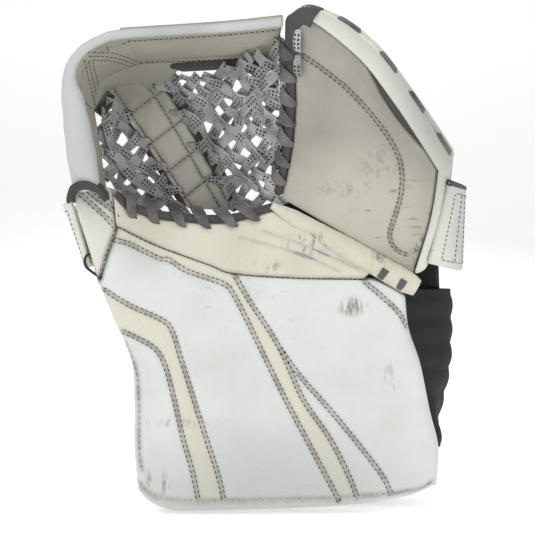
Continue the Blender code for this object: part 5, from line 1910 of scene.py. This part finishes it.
# %% Strap, hook tape and grip
def band_round(name, shares, low, high, grow, thickness, body, finish, node, rim=1.2 * MM):
    """A flat band round the wrist, a distance outside the sleeve's middle, and its outer face."""
    heights = low + (high - low) * steps(high - low, 1.2 * MM, rim)
    grid = round_wrist(shares, heights, 0.0)
    drop = np.minimum(rolled_all(grid, rim), thickness * 0.45)
    outer = round_wrist(shares, heights, grow + thickness / 2 - drop)
    inner = round_wrist(shares, heights, grow - thickness / 2 + drop)
    piece = closed(name, outer, inner, bow=0.1 * MM, loops=1)
    return keep(piece, body, finish, node), outer


low, high = STRAP_Z - STRAP_WIDTH / 2, STRAP_Z + STRAP_WIDTH / 2
hook_grow = SLEEVE_THICKNESS / 2 + HOOK_THICKNESS / 2 + 0.6 * MM
band_round("wrist_hook_tape", spread(9 / 40, 16 / 40, 60), low, high, hook_grow, HOOK_THICKNESS,
           "cuff", hook_tape, "wrist_hook_patch", rim=0.6 * MM)
strap_grow = SLEEVE_THICKNESS / 2 + HOOK_THICKNESS + 1.5 * MM + WEBBING / 2
strap_shares = steps(0.25, 1.6 * MM, 1.2 * MM) * (31 / 40) + 8 / 40
wrist_strap, strap_face = band_round("wrist_strap_webbing", strap_shares, low, high, strap_grow, WEBBING,
                                     "wrist_strap", white_webbing, "wrist_strap")
band_round("wrist_strap_pull", spread(8 / 40, 11 / 40, 40), low, high, strap_grow + WEBBING, WEBBING * 0.8,
           "wrist_strap", dark_binding, "wrist_strap_grip")


strap_rows, strap_columns = strap_face.shape[:2]
facing = outward_of(strap_face)
facing = facing if facing[strap_rows // 2, strap_columns // 2, 1] > 0 else -facing
sew("wrist_strap_thread", [(strap_face[row, 6:-6], facing[row, 6:-6]) for row in (8, strap_rows - 9)],
    "wrist_strap", finish=pale_thread)


# %% The two tabs
def tab(name, foot, head, body, border, extra=(), top_band=False):
    """A doubled strip of webbing between two edge curves, with sewn lines drawn as shares of its face."""
    across, up = steps(0.06, 1.1 * MM, 1.4 * MM), steps(0.038, 1.1 * MM, 1.4 * MM)
    foot, head = along(foot, across), along(head, across)
    middle = foot[None] * (1 - up[:, None, None]) + head[None] * up[:, None, None]
    normal = outward_of(middle)
    drop = np.minimum(rolled_all(middle, 1.4 * MM), 1.0 * MM)
    half = (1.2 * MM + 0.5 * MM - drop)[..., None]
    piece = closed(name, middle + normal * half, middle - normal * half, bow=0.2 * MM, loops=1)
    keep(piece, body, white_leather, body)
    rows = []
    far = 1 - border
    corners = [(border, border), (far, border), (far, far), (border, far), (border, border)]
    for line in [corners, *extra]:
        dense = along(np.array(line, float), spread(0, 1, 70))
        columns = [np.abs(across - u).argmin() for u, _ in dense]
        heights = [np.abs(up - v).argmin() for _, v in dense]
        for side in (1, -1):
            face = middle + side * normal * half
            rows.append((face[heights, columns], side * normal[heights, columns]))
    sew(name + "_thread", rows, body, pitch=2.9 * MM, length=2.1 * MM)
    if top_band:
        ends = np.tile(head[0] - foot[0], (len(head), 1))
        laces(name + "_band", [(head, ends, 3.4 * MM, 4.0 * MM)], body, dark_binding)
    return piece


# %% Both tabs and the loop
low = at_fingers((0.0965, 0.009), 0.004)
high = at_fingers((0.0839, 0.063), 0.004)
pinky_foot = through([
    tuple(low), (0.1, -0.046, 0.0), (0.1045, -0.026, 0.001), (0.103, -0.004, 0.003),
    (0.0985, 0.012, 0.005),
])
pinky_head = through([
    tuple(high), (0.0995, -0.062, 0.048), (0.104, -0.04, 0.048), (0.1035, -0.012, 0.044),
    (0.0965, 0.006, 0.04),
])
cross_rows = [[(share, 0.1), (share, 0.9)] for share in (0.3, 0.2)]
tab("pinky_tab_webbing", pinky_foot, pinky_head, "pinky_tab", 0.1, extra=cross_rows, top_band=True)
TAB_FOOT, TAB_HEAD = 0.002, 0.04
thumb_foot = through([
    (x, y, TAB_FOOT) for x, y in ((-0.1195, -0.05), (-0.1215, -0.043), (-0.1225, -0.032), (-0.12, -0.018))
])
thumb_head = through([
    (x, y, TAB_HEAD) for x, y in ((-0.129, -0.056), (-0.1335, -0.05), (-0.1355, -0.038), (-0.133, -0.022))
])
tab("thumb_tab_webbing", thumb_foot, thumb_head, "thumb_tab", 0.12)
loop_path = through([
    (-0.116, -0.048, 0.011), (-0.1212, -0.05, 0.008), (-0.1212, -0.05, 0.002),
    (-0.113, -0.047, -0.005),
], 25)
laces("thumb_loop", [(loop_path, np.tile(BACKWARD, (25, 1)), 5.0 * MM, 1.4 * MM)], "cuff", black_nylon)

# %% [markdown]
# ## Floor and hidden layers
#
# The layers that stay as the frame made them, such as foam and board, still get a finish: they show when
# a strap is peeled or the glove is turned over.

# %% Floor
low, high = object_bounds()
FLOOR_Z = low[2] - 0.5 * MM
floor_rows = [(-3.0, FLOOR_Z)]
for turn in spread(0, math.pi / 2, 25):
    floor_rows.append((1.2 + 0.8 * math.sin(turn), FLOOR_Z + 0.8 * (1 - math.cos(turn))))
floor_rows.append((2.0, 3.5))
floor_grid = np.array([[(x, y, z) for x in (-3.0, 3.0)] for y, z in floor_rows])
floor = mesh_piece("floor", floor_grid.reshape(-1, 3), grid_faces(len(floor_rows), 2))
floor_finish = Finish("floor")
floor.data.materials.append(floor_finish.done(
    (0.86, 0.86, 0.86), 0.9, Emission_Color=(1.0, 1.0, 1.0), Emission_Strength=0.39))

# %% Hidden layers
HIDDEN = {
    foam: ("cuff_foam", "palm_felt", "thumb_foam"),
    plastic_board: ("cuff_stiffener", "thumb_stiffener", "finger_stiffener"),
    black_nylon: ("thumb_lining",),
}
for finish, names in HIDDEN.items():
    for name in names:
        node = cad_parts[name]
        node.data.materials.clear()
        node.data.materials.append(finish)
    print(finish.name, "on", ", ".join(names))
